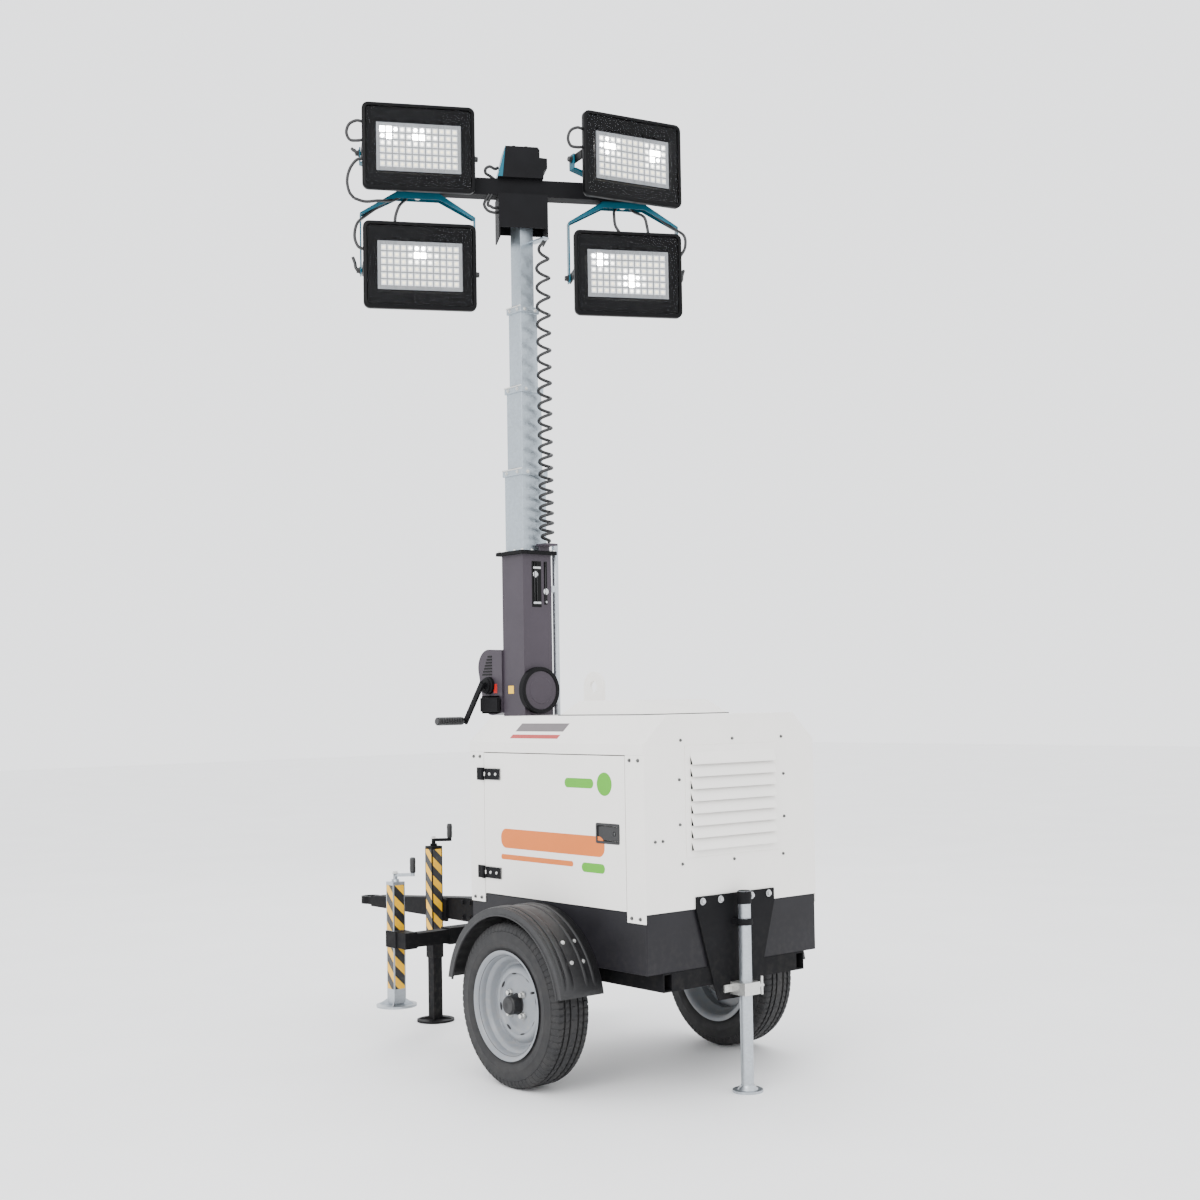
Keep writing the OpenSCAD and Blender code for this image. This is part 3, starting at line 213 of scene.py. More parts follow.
def paint(name, color, rough, mottle=0.04, peel=0.10, coat=0.0, dust=0.0, dust_top=0.6, shine=0.5):
    """Sprayed paint: faint mottling, orange peel and, if asked, road dust that fades out upwards."""
    s = Shader(name)
    dark = tuple(c * (1 - mottle) for c in color)
    base = s.ramp(s.noise(7, 5), (0.35, dark), (0.65, color))
    if dust:
        low = s.span(s.axis("Z"), 1.0, 0.0, 0.1, dust_top)
        speck = s.span(s.noise(55, 6), 0.0, 1.0, 0.45, 0.75)
        base = s.mix(s.math("MULTIPLY", s.math("MULTIPLY", low, speck), dust), base, (0.30, 0.27, 0.23))
    s.set("Base Color", base)
    s.set("Roughness", s.span(s.noise(30, 4), rough - 0.05, rough + 0.07))
    s.set("Specular IOR Level", shine)
    s.set("Coat Weight", coat)
    s.set("Coat Roughness", 0.12)
    s.bump(s.noise(420, 2), peel)
    return s.mat


def galvanised(name, tint=(0.36, 0.41, 0.45), grain=120.0, rough=0.34):
    """Hot-dip zinc: crystal flakes that differ in shade and gloss, with a faint runny cloudiness."""
    s = Shader(name, metallic=0.85)
    flakes = s.node("ShaderNodeTexVoronoi", Vector=s.coords, Scale=grain)
    shade = s.node("ShaderNodeSeparateColor", Color=flakes.outputs["Color"]).outputs[0]
    cloud = s.noise(9, 5, (1, 1, 0.35))
    mixed = s.math("ADD", s.math("MULTIPLY", shade, 0.35), s.math("MULTIPLY", cloud, 0.65))
    low, high = tuple(c * 0.86 for c in tint), tuple(min(1.0, c * 1.10) for c in tint)
    s.set("Base Color", s.ramp(mixed, (0.25, low), (0.80, high)))
    s.set("Roughness", s.span(shade, rough - 0.02, rough + 0.07))
    s.bump(s.noise(160, 3), 0.035)
    return s.mat


def cast(name, color, rough=0.62, grain=240.0, depth=0.35, metallic=0.0):
    """Cast or moulded surface: visible grain and uneven shade."""
    s = Shader(name, metallic=metallic)
    s.set("Base Color", s.ramp(s.noise(18, 6), (0.3, tuple(c * 0.7 for c in color)), (0.7, color)))
    s.set("Roughness", s.span(s.noise(60, 4), rough - 0.08, rough + 0.1))
    s.bump(s.noise(grain, 4), depth)
    return s.mat


def screw_heads():
    """Plated screw heads: bright where they stand far out at the sides, on the mudguards, and dark on the cabinet."""
    s = Shader("screw_heads", metallic=0.6)
    outside = s.math("GREATER_THAN", s.math("ABSOLUTE", s.axis("Y")), 0.402)
    shade = s.span(s.noise(60, 3), 0.85, 1.0)
    mixed = s.math("MULTIPLY", s.math("ADD", s.math("MULTIPLY", outside, 0.62), 0.10), shade)
    s.set("Base Color", s.ramp(mixed, (0.0, (0.0, 0.0, 0.0)), (1.0, (1.0, 1.0, 0.98))))
    s.set("Roughness", s.span(s.noise(90, 3), 0.30, 0.42))
    s.bump(s.noise(300, 2), 0.05)
    return s.mat


def brushed(name, color, rough=0.3):
    """Machined steel with fine drawn lines."""
    s = Shader(name, metallic=1.0)
    lines = s.noise(40, 6, (1, 18, 18))
    s.set("Base Color", s.ramp(lines, (0.3, tuple(c * 0.8 for c in color)), (0.7, color)))
    s.set("Roughness", s.span(lines, rough - 0.08, rough + 0.12))
    s.bump(lines, 0.08)
    return s.mat


def tyre_rubber():
    """Tyre rubber: matte black, greyed by dust, with a fine moulded grain."""
    s = Shader("tyre_rubber")
    dust = s.span(s.noise(22, 6), 0.0, 1.0, 0.42, 0.72)
    base = s.mix(s.math("MULTIPLY", dust, 0.3), (0.008, 0.008, 0.009), (0.035, 0.032, 0.029))
    s.set("Base Color", base)
    s.set("Roughness", s.span(s.noise(45, 4), 0.62, 0.85))
    s.bump(s.noise(520, 4), 0.30)
    return s.mat


def hazard_tape():
    """Reflective tape with slanted yellow and black bars, lightly scuffed."""
    s = Shader("hazard_tape")
    run = s.math("ADD", s.math("ADD", s.axis("X"), s.axis("Y")), s.axis("Z"))
    bar = s.math("GREATER_THAN", s.math("FRACT", s.math("DIVIDE", run, STRIPE_PITCH)), 0.48)
    scuff = s.span(s.noise(70, 6), 0.0, 0.5, 0.56, 0.75)
    yellow = s.mix(scuff, (0.80, 0.43, 0.0), (0.62, 0.36, 0.03))
    black = s.mix(scuff, (0.014, 0.014, 0.016), (0.07, 0.065, 0.06))
    s.set("Base Color", s.mix(bar, yellow, black))
    s.set("Roughness", s.span(s.noise(90, 3), 0.32, 0.5))
    s.bump(s.noise(600, 2), 0.08)
    return s.mat


def led_glow(name, color, strength, rough=0.25):
    """A lit LED lens: a yellowish centre on a pale lens, with slight unit to unit variation. The reflector cells and
    the glint spots use it too, for a painted glow.
    """
    s = Shader(name, rough=rough, color=color)
    vary = s.span(s.noise(38, 2), 0.75, 1.15)
    s.set("Emission Color", s.ramp(s.noise(60, 2), (0.3, tuple(c * 0.92 for c in color)), (0.7, color)))
    s.set("Emission Strength", s.math("MULTIPLY", vary, strength))
    s.set("Base Color", s.ramp(s.noise(200, 2), (0.3, tuple(c * 0.85 for c in color)), (0.7, color)))
    s.bump(s.noise(800, 1), 0.05)
    return s.mat


def board_painted_glow():
    """The board behind the LEDs: grey solder mask with faint copper lines, made pale by a painted glow that stands in
    for the light falling on it.
    """
    s = Shader("led_board", rough=0.4)
    grid = s.node("ShaderNodeTexBrick", Vector=s.coords, Scale=28.0)
    grid.inputs["Color1"].default_value = (0.20, 0.21, 0.22, 1)
    grid.inputs["Color2"].default_value = (0.16, 0.17, 0.18, 1)
    grid.inputs["Mortar"].default_value = (0.10, 0.11, 0.12, 1)
    grid.inputs["Mortar Size"].default_value = 0.012
    s.set("Base Color", grid.outputs["Color"])
    # Painted glow: the board emits a faint pale light of its own, standing in for the light of its LEDs and lamps on
    # it.
    s.set("Emission Color", s.ramp(s.noise(9, 2), (0.3, (0.55, 0.56, 0.60)), (0.7, (0.85, 0.86, 0.88))))
    s.set("Emission Strength", 0.10)
    s.set("Roughness", s.span(s.noise(90, 3), 0.3, 0.5))
    s.bump(s.noise(500, 2), 0.1)
    return s.mat


def window():
    """The lamp's front glass: nearly clear, with dust that dims it a little."""
    s = Shader("lamp_glass", color=(0.02, 0.022, 0.025))
    s.set("Roughness", s.span(s.noise(25, 4), 0.03, 0.09))
    s.set("Alpha", s.span(s.noise(14, 5), 0.02, 0.05))
    s.set("Specular IOR Level", 0.2)
    return s.mat


WHITE = (0.86, 0.838, 0.80)
M = {
    "white": paint("white_enamel", WHITE, 0.32, mottle=0.025, peel=0.05, coat=0.25, dust=0.06, dust_top=0.9),
    "black": paint("black_powder", (0.005, 0.005, 0.006), 0.64, mottle=0.3, peel=0.14, dust=0.05, shine=0.12),
    "tub": paint("tub_charcoal", (0.010, 0.0095, 0.012), 0.40, mottle=0.25, peel=0.12, dust=0.06, shine=0.20),
    "mast": paint("mast_plum_grey", (0.040, 0.032, 0.042), 0.42, mottle=0.12, peel=0.10, shine=0.25),
    "yoke": paint("yoke_petrol", (0.010, 0.105, 0.155), 0.40, mottle=0.2, peel=0.08, shine=0.2),
    "lamp": paint("lamp_black", (0.003, 0.003, 0.0035), 0.40, mottle=0.3, peel=0.05, coat=0.0, shine=0.10),
    "gloss": paint("gloss_black", (0.002, 0.002, 0.0025), 0.22, mottle=0.3, peel=0.02, coat=0.0, shine=0.12),
    "rim": paint("rim_silver", (0.20, 0.215, 0.235), 0.36, mottle=0.08, peel=0.10, coat=0.2, dust=0.35),
    "orange": paint("decal_orange", (0.62, 0.135, 0.0), 0.45, mottle=0.04, peel=0.04),
    "green": paint("decal_green", (0.065, 0.34, 0.0), 0.45, mottle=0.04, peel=0.04),
    "grey": paint("decal_grey", (0.10, 0.085, 0.09), 0.36, mottle=0.06, peel=0.04),
    "red": paint("signal_red", (0.40, 0.012, 0.008), 0.38, mottle=0.08, peel=0.06),
    "label": paint("label_yellow", (0.85, 0.50, 0.0), 0.40, mottle=0.06, peel=0.04),
    "galv": galvanised("galvanised_steel"),
    "galv_fine": galvanised("galvanised_fine", (0.42, 0.45, 0.48), 150.0, 0.36),
    "zinc": galvanised("zinc_plate", (0.60, 0.60, 0.58), 260.0, 0.30),
    "screws": screw_heads(),
    "steel": brushed("machined_steel", (0.55, 0.56, 0.57)),
    "plastic": cast("black_plastic", (0.007, 0.007, 0.008), 0.50, 380.0, 0.12),
    "knob": cast("knob_plastic", (0.015, 0.015, 0.016), 0.42, 500.0, 0.15),
    "rubber": cast("cable_rubber", (0.012, 0.012, 0.013), 0.48, 700.0, 0.12),
    "engine": cast("engine_paint", (0.05, 0.12, 0.075), 0.50, 160.0, 0.3),
    "alternator": cast("alternator_cast", (0.25, 0.26, 0.28), 0.48, 140.0, 0.35, 0.4),
    "radiator": cast("radiator_black", (0.025, 0.025, 0.028), 0.55, 300.0, 0.25),
    "tank": cast("tank_plastic", (0.04, 0.043, 0.048), 0.55, 200.0, 0.3),
    "battery": cast("battery_case", (0.02, 0.03, 0.05), 0.45, 300.0, 0.2),
    "panel": cast("panel_grey", (0.13, 0.14, 0.155), 0.5, 420.0, 0.18),
    "tyre": tyre_rubber(),
    "hazard": hazard_tape(),
    "board": board_painted_glow(),
    "led": led_glow("led_lens", (0.98, 0.90, 0.66), 1.6),
    # Reflector cells: a faint painted glow standing in for the LEDs' light on them.
    "cell": led_glow("led_reflector", (0.78, 0.80, 0.82), 0.16, 0.35),
    # Painted glint and its painted halo: LEDs at a few spots glow far brighter than the rest.
    "warm": led_glow("led_warm", (1.0, 0.96, 0.84), 5.0),
    "hot": led_glow("led_bright", (1.0, 0.98, 0.94), 55.0),
    "glass": window(),
}

CAD_LOOKS = {
    "black": ("chassis_frame", "drawbar", "axle", "door_hinges", "outrigger_arm_left",
              "outrigger_arm_right", "rear_jack_bracket", "lamp_head", "tow_jack_tube", "tow_jack_leg",
              "winch_crank", "tow_jack_crank"),
    "tub": ("base_tub",),
    "white": ("end_panels", "louvre_panel", "roof_panel", "roof_hood", "lifting_eye", "door_left",
              "door_right"),
    "zinc": ("rear_jack_clamp", "rear_jack_lever"),
    "screws": ("panel_bolts",),
    "galv_fine": ("jack_tube_left", "jack_tube_right", "jack_leg_left", "jack_leg_right",
                  "rear_jack_leg", "mast_conduit", "jack_crank_left", "jack_crank_right"),
    "galv": ("mast_section_1", "mast_section_2", "mast_section_3", "mast_section_4"),
    "mast": ("mast_column", "winch_housing"),
    "plastic": ("mudguards", "cooling_fan", "latch_left", "latch_right"),
    "yoke": ("yoke_upper_left", "yoke_upper_right", "yoke_lower_left", "yoke_lower_right"),
    "engine": ("engine",),
    "alternator": ("alternator",),
    "radiator": ("radiator",),
    "tank": ("fuel_tank",),
    "battery": ("battery",),
    "panel": ("control_panel",),
}
BEVEL_MM = {"black": 1.6, "tub": 3.0, "white": 1.2, "galv": 1.5, "mast": 3.0, "plastic": 1.5, "engine": 6.0,
            "alternator": 4.0, "radiator": 1.5, "tank": 10.0, "battery": 4.0, "panel": 4.0, "yoke": 0.8}


def soften(obj, width_mm, angle=35.0):
    """Welds split vertices, rounds the sharp edges and keeps the flat faces flat."""
    weld = obj.modifiers.new("weld", "WELD")
    weld.merge_threshold = 1e-5
    bevel = obj.modifiers.new("bevel", "BEVEL")
    bevel.width = width_mm * MM
    bevel.segments = 2
    bevel.limit_method = "ANGLE"
    bevel.angle_limit = math.radians(angle)
    bevel.use_clamp_overlap = True
    bevel.harden_normals = True


for look, names in CAD_LOOKS.items():
    for name in names:
        node = NODES[name]
        node.data.materials.clear()
        node.data.materials.append(M[look])
        soften(node, BEVEL_MM.get(look, 0.6))


# ---- mesh helpers ----

def make(name, bm, material, body, smooth=True, replaces=(), place=None):
    """Turns a bmesh into an object that rides on a body."""
    bmesh.ops.recalc_face_normals(bm, faces=bm.faces)
    mesh = bpy.data.meshes.new(name)
    bm.to_mesh(mesh)
    bm.free()
    if place is not None:
        mesh.transform(place)
    for polygon in mesh.polygons:
        polygon.use_smooth = smooth
    obj = bpy.data.objects.new(name, mesh)
    scene.collection.objects.link(obj)
    mesh.materials.append(M[material])
    if body:
        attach(obj, body)
    if replaces:
        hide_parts(*replaces)
    return obj


def sharpen(obj, angle=32.0):
    """Smooth shading that keeps the edges steeper than the angle."""
    obj.data.set_sharp_from_angle(angle=math.radians(angle))
    return obj


def join_loops(bm, here, there):
    """Faces from one closed loop of vertices to the next."""
    for k in range(len(here)):
        m = (k + 1) % len(here)
        bm.faces.new((here[k], here[m], there[m], there[k]))


def add_slab(bm, front, back):
    """A closed slab between two matching outlines."""
    bm.faces.new(front)
    bm.faces.new(list(reversed(back)))
    join_loops(bm, front, back)


def add_block(bm, low, high, bevel=0.0, segments=2):
    """A box between two corners with rounded edges."""
    low, high = Vector(low), Vector(high)
    made = bmesh.ops.create_cube(bm, size=1.0)["verts"]
    size = high - low
    for vert in made:
        vert.co = low + Vector(((vert.co.x + 0.5) * size.x, (vert.co.y + 0.5) * size.y,
                                (vert.co.z + 0.5) * size.z))
    if bevel:
        edges = list({e for v in made for e in v.link_edges})
        bmesh.ops.bevel(bm, geom=edges, offset=bevel, segments=segments, affect="EDGES", clamp_overlap=True)


def add_lathe(bm, profile, steps, at):
    """Revolves a closed outline of (radius, height) points about a line along Y through at."""
    at = Vector(at)
    rings = []
    for i in range(steps):
        a = 2 * math.pi * i / steps
        ring = []
        for r, h in profile:
            ring.append(bm.verts.new(at + Vector((r * math.cos(a), h, r * math.sin(a)))))
        rings.append(ring)
    for i in range(steps):
        join_loops(bm, rings[i], rings[(i + 1) % steps])


def add_disc(bm, centre, normal, profile, steps=24):
    """A turned part on an axis: (radius, height) points from the base outwards, with a point on the axis last."""
    centre, normal = Vector(centre), Vector(normal).normalized()
    turn = Vector((0, 0, 1)).rotation_difference(normal).to_matrix()
    rings = []
    for r, h in profile:
        if r < 1e-6:
            rings.append([bm.verts.new(centre + turn @ Vector((0, 0, h)))])
        else:
            rings.append([bm.verts.new(centre + turn @ Vector((r * math.cos(2 * math.pi * i / steps),
                                                               r * math.sin(2 * math.pi * i / steps), h)))
                          for i in range(steps)])
    for here, there in zip(rings, rings[1:]):
        for i in range(steps):
            k = (i + 1) % steps
            if len(there) == 1:
                bm.faces.new((here[i], here[k], there[0]))
            elif len(here) == 1:
                bm.faces.new((here[0], there[k], there[i]))
            else:
                bm.faces.new((here[i], here[k], there[k], there[i]))
    if len(rings[0]) > 1:
        bm.faces.new(list(reversed(rings[0])))


def add_hex_bolt(bm, centre, normal, r=0.007, h=0.005, washer=1.45):
    """A hexagon bolt head on its washer."""
    add_disc(bm, centre, normal, [(r * washer, 0), (r * washer, h * 0.25), (r * washer * 0.9, h * 0.36),
                                  (0, h * 0.36)], 20)
    add_disc(bm, Vector(centre) + Vector(normal) * h * 0.3, normal,
             [(r, 0), (r, h * 0.8), (r * 0.86, h), (0, h)], 6)


def sweep(points, radius, sides=10):
    """A bmesh tube along points, with a frame that doesn't twist."""
    bm = bmesh.new()
    pts = [Vector(p) for p in points]
    tangents = [(pts[min(i + 1, len(pts) - 1)] - pts[max(i - 1, 0)]).normalized() for i in range(len(pts))]
    normal = tangents[0].orthogonal().normalized()
    rings = []
    for p, t in zip(pts, tangents):
        normal = (normal - t * normal.dot(t)).normalized()
        other = t.cross(normal)
        rings.append([bm.verts.new(p + radius * (math.cos(2 * math.pi * k / sides) * normal
                                                 + math.sin(2 * math.pi * k / sides) * other))
                      for k in range(sides)])
    for here, there in zip(rings, rings[1:]):
        join_loops(bm, here, there)
    bm.faces.new(list(reversed(rings[0])))
    bm.faces.new(rings[-1])
    return bm


def spline(points, per_span=8):
    """Points on a smooth curve through the given ones."""
    pts = [Vector(p) for p in points]
    ends = [pts[0] * 2 - pts[1]] + pts + [pts[-1] * 2 - pts[-2]]
    out = []
    for i in range(1, len(ends) - 2):
        a, b, c, d = ends[i - 1:i + 3]
        for k in range(per_span):
            t = k / per_span
            out.append(0.5 * (2 * b + (c - a) * t + (2 * a - 5 * b + 4 * c - d) * t * t
                              + (3 * b - 3 * c + d - a) * t ** 3))
    out.append(pts[-1])
    return out


def lamp_cord(name, points, body=None, blend=None):
    """A lamp lead along points. It rides on a body, or, when blend is given, stays fixed in place."""
    obj = make(name, sweep(points, LEAD / 2), "rubber", None)
    if blend:
        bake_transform(obj)
    else:
        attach(obj, body)


# ---- the coiled cable beside the mast ----

WIRE = 0.012
coil_low, coil_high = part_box("mast_cable")
coil_axis = ((coil_low.x + coil_high.x) / 2, (coil_low.y + coil_high.y) / 2)
coil_r = (coil_high.x - coil_low.x) / 2 - WIRE / 2
COIL_TURNS = 21
COIL_STEPS = 22
COIL_GROWTH = 0.42


def coil_height(share):
    """Height of the coil at a share of its turns: the weight of the cable opens the turns at the top."""
    run = (1 - COIL_GROWTH) * share + COIL_GROWTH * share * share
    return coil_low.z + WIRE / 2 + (coil_high.z - coil_low.z - WIRE) * run


coil_points = []
for i in range(COIL_TURNS * COIL_STEPS + 1):
    share = i / (COIL_TURNS * COIL_STEPS)
    a = 2 * math.pi * i / COIL_STEPS
    pull = min(1.0, (0.35 + 0.65 * min(share, 1 - share) * COIL_TURNS))
    coil_points.append(Vector((coil_axis[0] + coil_r * pull * math.cos(a),
                               coil_axis[1] + coil_r * pull * math.sin(a), coil_height(share))))
stage_tops = [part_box(f"mast_section_{i}")[1].z for i in (1, 2, 3)]
cuts = [0] + [min(range(len(coil_points)), key=lambda i: abs(coil_points[i].z - top)) for top in stage_tops]
cuts.append(len(coil_points) - 1)
for i in range(4):
    run = coil_points[cuts[i]:cuts[i + 1] + 1]
    obj = make(f"mast_coil_{i + 1}", sweep(run, WIRE / 2, 10), "rubber", None)
    low = Vector((coil_axis[0], coil_axis[1], run[0].z))
    high = Vector((coil_axis[0], coil_axis[1], run[-1].z))
    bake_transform(obj)
    if i == 0:
        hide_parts("mast_cable")


# ---- wheels ----

LUGS = 76
STEPS_PER_LUG = 6
GROOVES = (0.016, 0.038)
GROOVE_HALF = 0.0034


def tread_depth(step, y):
    """How far the tread is cut in at a step round the tyre and a distance y from its middle."""
    across = abs(y)
    if any(abs(across - g) < GROOVE_HALF for g in GROOVES):
        return 0.0065
    phase = (step + (2 if y > 0 else 0) + int(across * 130)) % STEPS_PER_LUG
    if across > GROOVES[1]:
        return 0.0045 if phase == 0 else 0.0
    if across > GROOVES[0]:
        return 0.0040 if phase == 3 else 0.0
    return 0.0030 if phase == 1 and step // STEPS_PER_LUG % 2 else 0.0


def wheel(side, sign):
    low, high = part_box(f"tyre_{side}")
    centre = (low + high) / 2
    r, half = (high.z - low.z) / 2, (high.y - low.y) / 2
    rim_low, rim_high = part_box(f"rim_{side}")
    flange = (rim_high.z - rim_low.z) / 2
    bead = flange - 0.017
    wall = [(bead, half - 0.011), (flange + 0.004, half - 0.009), (flange + 0.010, half - 0.004),
            (flange + 0.022, half - 0.0005), (flange + 0.030, half), (flange + 0.033, half + 0.0004),
            (flange + 0.0345, half - 0.0003), (flange + 0.050, half - 0.001), (r - 0.034, half - 0.003),
            (r - 0.030, half - 0.0030), (r - 0.0275, half - 0.0058), (r - 0.020, half - 0.0065),
            (r - 0.011, half - 0.0105), (r - 0.004, half - 0.0165)]
    edges = sorted({round(e, 4) for g in GROOVES for e in (g - GROOVE_HALF - 3e-4, g - GROOVE_HALF + 3e-4,
                                                          g + GROOVE_HALF - 3e-4, g + GROOVE_HALF + 3e-4)}
                   | {0.0, 0.006, 0.027, 0.047, 0.0515})
    tread_y = [y for y in reversed(edges)] + [-y for y in edges if y > 0]
    bm = bmesh.new()
    steps = LUGS * STEPS_PER_LUG
    rings = []
    for i in range(steps):
        a = 2 * math.pi * i / steps
        c, s = math.cos(a), math.sin(a)
        ring = []
        for radius, y in wall:
            cut = 0.0022 if i % STEPS_PER_LUG == 0 and radius > r - 0.028 else 0.0
            ring.append((radius - cut * 0.4, y - cut))
        crown = [(r - 0.0009 * (y / 0.05) ** 4 - tread_depth(i, y), y) for y in tread_y]
        section = ring + crown + [(radius, -y) for radius, y in reversed(ring)]
        rings.append([bm.verts.new((centre.x + q * c, centre.y + y, centre.z + q * s)) for q, y in section])
    for i in range(steps):
        join_loops(bm, rings[i], rings[(i + 1) % steps])
    sharpen(make(f"wheel_tyre_{side}", bm, "tyre", f"wheel_{side}", replaces=(f"tyre_{side}",)))

    out = half
    rim = [(flange - 0.001, out - 0.004), (flange, out - 0.0015), (flange - 0.002, out), (flange - 0.006, out - 0.001),
           (flange - 0.012, out - 0.007), (flange - 0.018, out - 0.013), (flange - 0.021, out - 0.024),
           (flange - 0.023, out - 0.034), (flange - 0.031, out - 0.040), (flange - 0.036, out - 0.047),
           (flange - 0.038, out - 0.062), (flange - 0.042, out - 0.067), (flange - 0.051, out - 0.066),
           (flange - 0.056, out - 0.058), (flange - 0.064, out - 0.0525), (flange - 0.072, out - 0.0505),
           (flange - 0.079, out - 0.052), (flange - 0.084, out - 0.059), (flange - 0.090, out - 0.0615),
           (flange - 0.100, out - 0.0605), (0.064, out - 0.055), (0.052, out - 0.051), (0.036, out - 0.050),
           (0.036, out - 0.056), (0.066, out - 0.061), (flange - 0.100, out - 0.067),
           (flange - 0.052, out - 0.073), (flange - 0.043, out - 0.073), (flange - 0.043, -out + 0.050),
           (flange - 0.026, -out + 0.032), (flange - 0.022, -out + 0.012), (flange - 0.014, -out + 0.004),
           (flange, -out + 0.001), (flange, -out + 0.004), (flange - 0.010, -out + 0.008),
           (flange - 0.0172, -out + 0.015), (flange - 0.0172, -out + 0.030), (flange - 0.037, -out + 0.052),
           (flange - 0.037, out - 0.066), (flange - 0.0172, out - 0.034), (flange - 0.0172, out - 0.012),
           (flange - 0.008, out - 0.007)]
    bm = bmesh.new()
    add_lathe(bm, [(q, sign * y) for q, y in rim], 96, centre)
    sharpen(make(f"wheel_disc_{side}", bm, "rim", f"wheel_{side}",
                 replaces=(f"rim_{side}",)), 40)
    bm = bmesh.new()
    for k in range(4):
        a = math.radians(45 + 90 * k)
        spot = centre + Vector((0.049 * math.cos(a), sign * (out - 0.0508), 0.049 * math.sin(a)))
        add_disc(bm, spot, (0, sign, 0), [(0.0125, 0), (0.0125, 0.003), (0.010, 0.0075), (0, 0.0075)], 20)
        add_disc(bm, spot + Vector((0, sign * 0.006, 0)), (0, sign, 0),
                 [(0.0092, 0), (0.0092, 0.008), (0.0078, 0.0105), (0, 0.0112)], 6)
    sharpen(make(f"wheel_bolts_{side}", bm, "zinc", f"wheel_{side}"))
    bm = bmesh.new()
    add_disc(bm, centre + Vector((0, sign * (out - 0.062), 0)), (0, sign, 0),
             [(0.0345, 0), (0.0345, 0.012), (0.0325, 0.014), (0.0315, 0.045), (0.0285, 0.049), (0.027, 0.052),
              (0.012, 0.053), (0.009, 0.0515), (0, 0.0515)], 40)
    add_disc(bm, centre + Vector((0, -sign * 0.055, 0)), (0, sign, 0),
             [(0.078, 0), (0.080, 0.004), (0.080, 0.055), (0.074, 0.060), (0.046, 0.064), (0.042, 0.070),
              (0, 0.070)], 48)
    sharpen(make(f"wheel_hub_{side}", bm, "plastic", f"wheel_{side}"))
    bm = bmesh.new()
    for k in range(8):
        a = math.radians(12 + 45 * k)
        ring = flange - 0.0805
        mid = centre + Vector((ring * math.cos(a), sign * (out - 0.0555), ring * math.sin(a)))
        turn = Matrix.Rotation(-a, 3, "Y")
        made = bmesh.ops.create_uvsphere(bm, u_segments=16, v_segments=8, radius=1.0)["verts"]
        for vert in made:
            vert.co = mid + turn @ Vector((vert.co.x * 0.0042, vert.co.y * 0.0035, vert.co.z * 0.015))
    make(f"wheel_slots_{side}", bm, "plastic", f"wheel_{side}")
    bm = bmesh.new()
    valve = centre + Vector(((flange - 0.030) * math.cos(0.4), sign * (out - 0.037), (flange - 0.030) * math.sin(0.4)))
    add_disc(bm, valve, (0, sign, 0), [(0.0058, 0), (0.0058, 0.004), (0.0036, 0.010), (0.0032, 0.024),
                                       (0.0042, 0.025), (0.0042, 0.033), (0, 0.034)], 16)
    make(f"wheel_valve_{side}", bm, "rubber", f"wheel_{side}")


for side, sign in SIDES:
    wheel(side, sign)

# ---- mudguards: swaged ribs and edge beads ----

for side, sign in SIDES:
    low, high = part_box(f"tyre_{side}")
    guard_low, guard_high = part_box("mudguards")
    axle_x, axle_z = (low.x + high.x) / 2, (low.z + high.z) / 2
    guard_r = guard_high.z - axle_z
    guard_y1 = guard_high.y
    guard_y0 = guard_y1 - 0.175
    start = math.asin((guard_low.z - axle_z) / guard_r)
    bm = bmesh.new()
    for y, width, height in ((guard_y0 + 0.030, 0.010, 0.0035), (guard_y0 + 0.062, 0.010, 0.0035),
                             (guard_y1 - 0.045, 0.016, 0.0045), (guard_y1 - 0.020, 0.010, 0.0035)):
        rings = []
        for i in range(81):
            a = start + 0.06 + (math.pi - 2 * start - 0.12) * i / 80
            fade = min(1.0, min(i, 80 - i) / 5)
            rings.append([bm.verts.new((axle_x + (guard_r + h * fade - 0.0006) * math.cos(a), sign * (y + w),
                                        axle_z + (guard_r + h * fade - 0.0006) * math.sin(a)))
                          for w, h in ((-width, 0), (-width * 0.55, height * 0.7), (-width * 0.25, height),
                                       (width * 0.25, height), (width * 0.55, height * 0.7), (width, 0))])
        for here, there in zip(rings, rings[1:]):
            for k in range(5):
                bm.faces.new((here[k], here[k + 1], there[k + 1], there[k]))
            bm.faces.new((here[5], here[0], there[0], there[5]))
        bm.faces.new(rings[0])
        bm.faces.new(list(reversed(rings[-1])))
    make(f"guard_ribs_{side}", bm, "plastic", "trailer")
    bm = bmesh.new()
    edge = []
    for i in range(73):
        a = start + (math.pi - 2 * start) * i / 72
        edge.append((axle_x + (guard_r - 0.025) * math.cos(a), sign * (guard_y1 - 0.001),
                     axle_z + (guard_r - 0.025) * math.sin(a)))
    bm = sweep(edge, 0.0042, 10)
    make(f"guard_bead_{side}", bm, "plastic", "trailer")

# ---- lamps ----

LAMP_NAMES = [(level, side) for level in ("upper", "lower") for side, _ in SIDES]
# Painted glints: the LEDs near these spots, and the reflector cells closest to them, glow far brighter than the rest,
# and a ring of LEDs around them glows as a painted halo.
PAINTED_GLINT_SPOTS = {("upper", "left"): ((-0.115, 0.060), (0.005, 0.045)),
             ("upper", "right"): ((-0.105, 0.040), (0.095, 0.030)),
             ("lower", "left"): ((0.005, 0.045),), ("lower", "right"): ((-0.110, 0.060), (0.012, -0.030))}
LED_COLUMNS, LED_ROWS = 12, 6
BOARD_W, BOARD_H = 0.318, 0.184
LED_STEP_Y, LED_STEP_Z = 0.0247, 0.0265


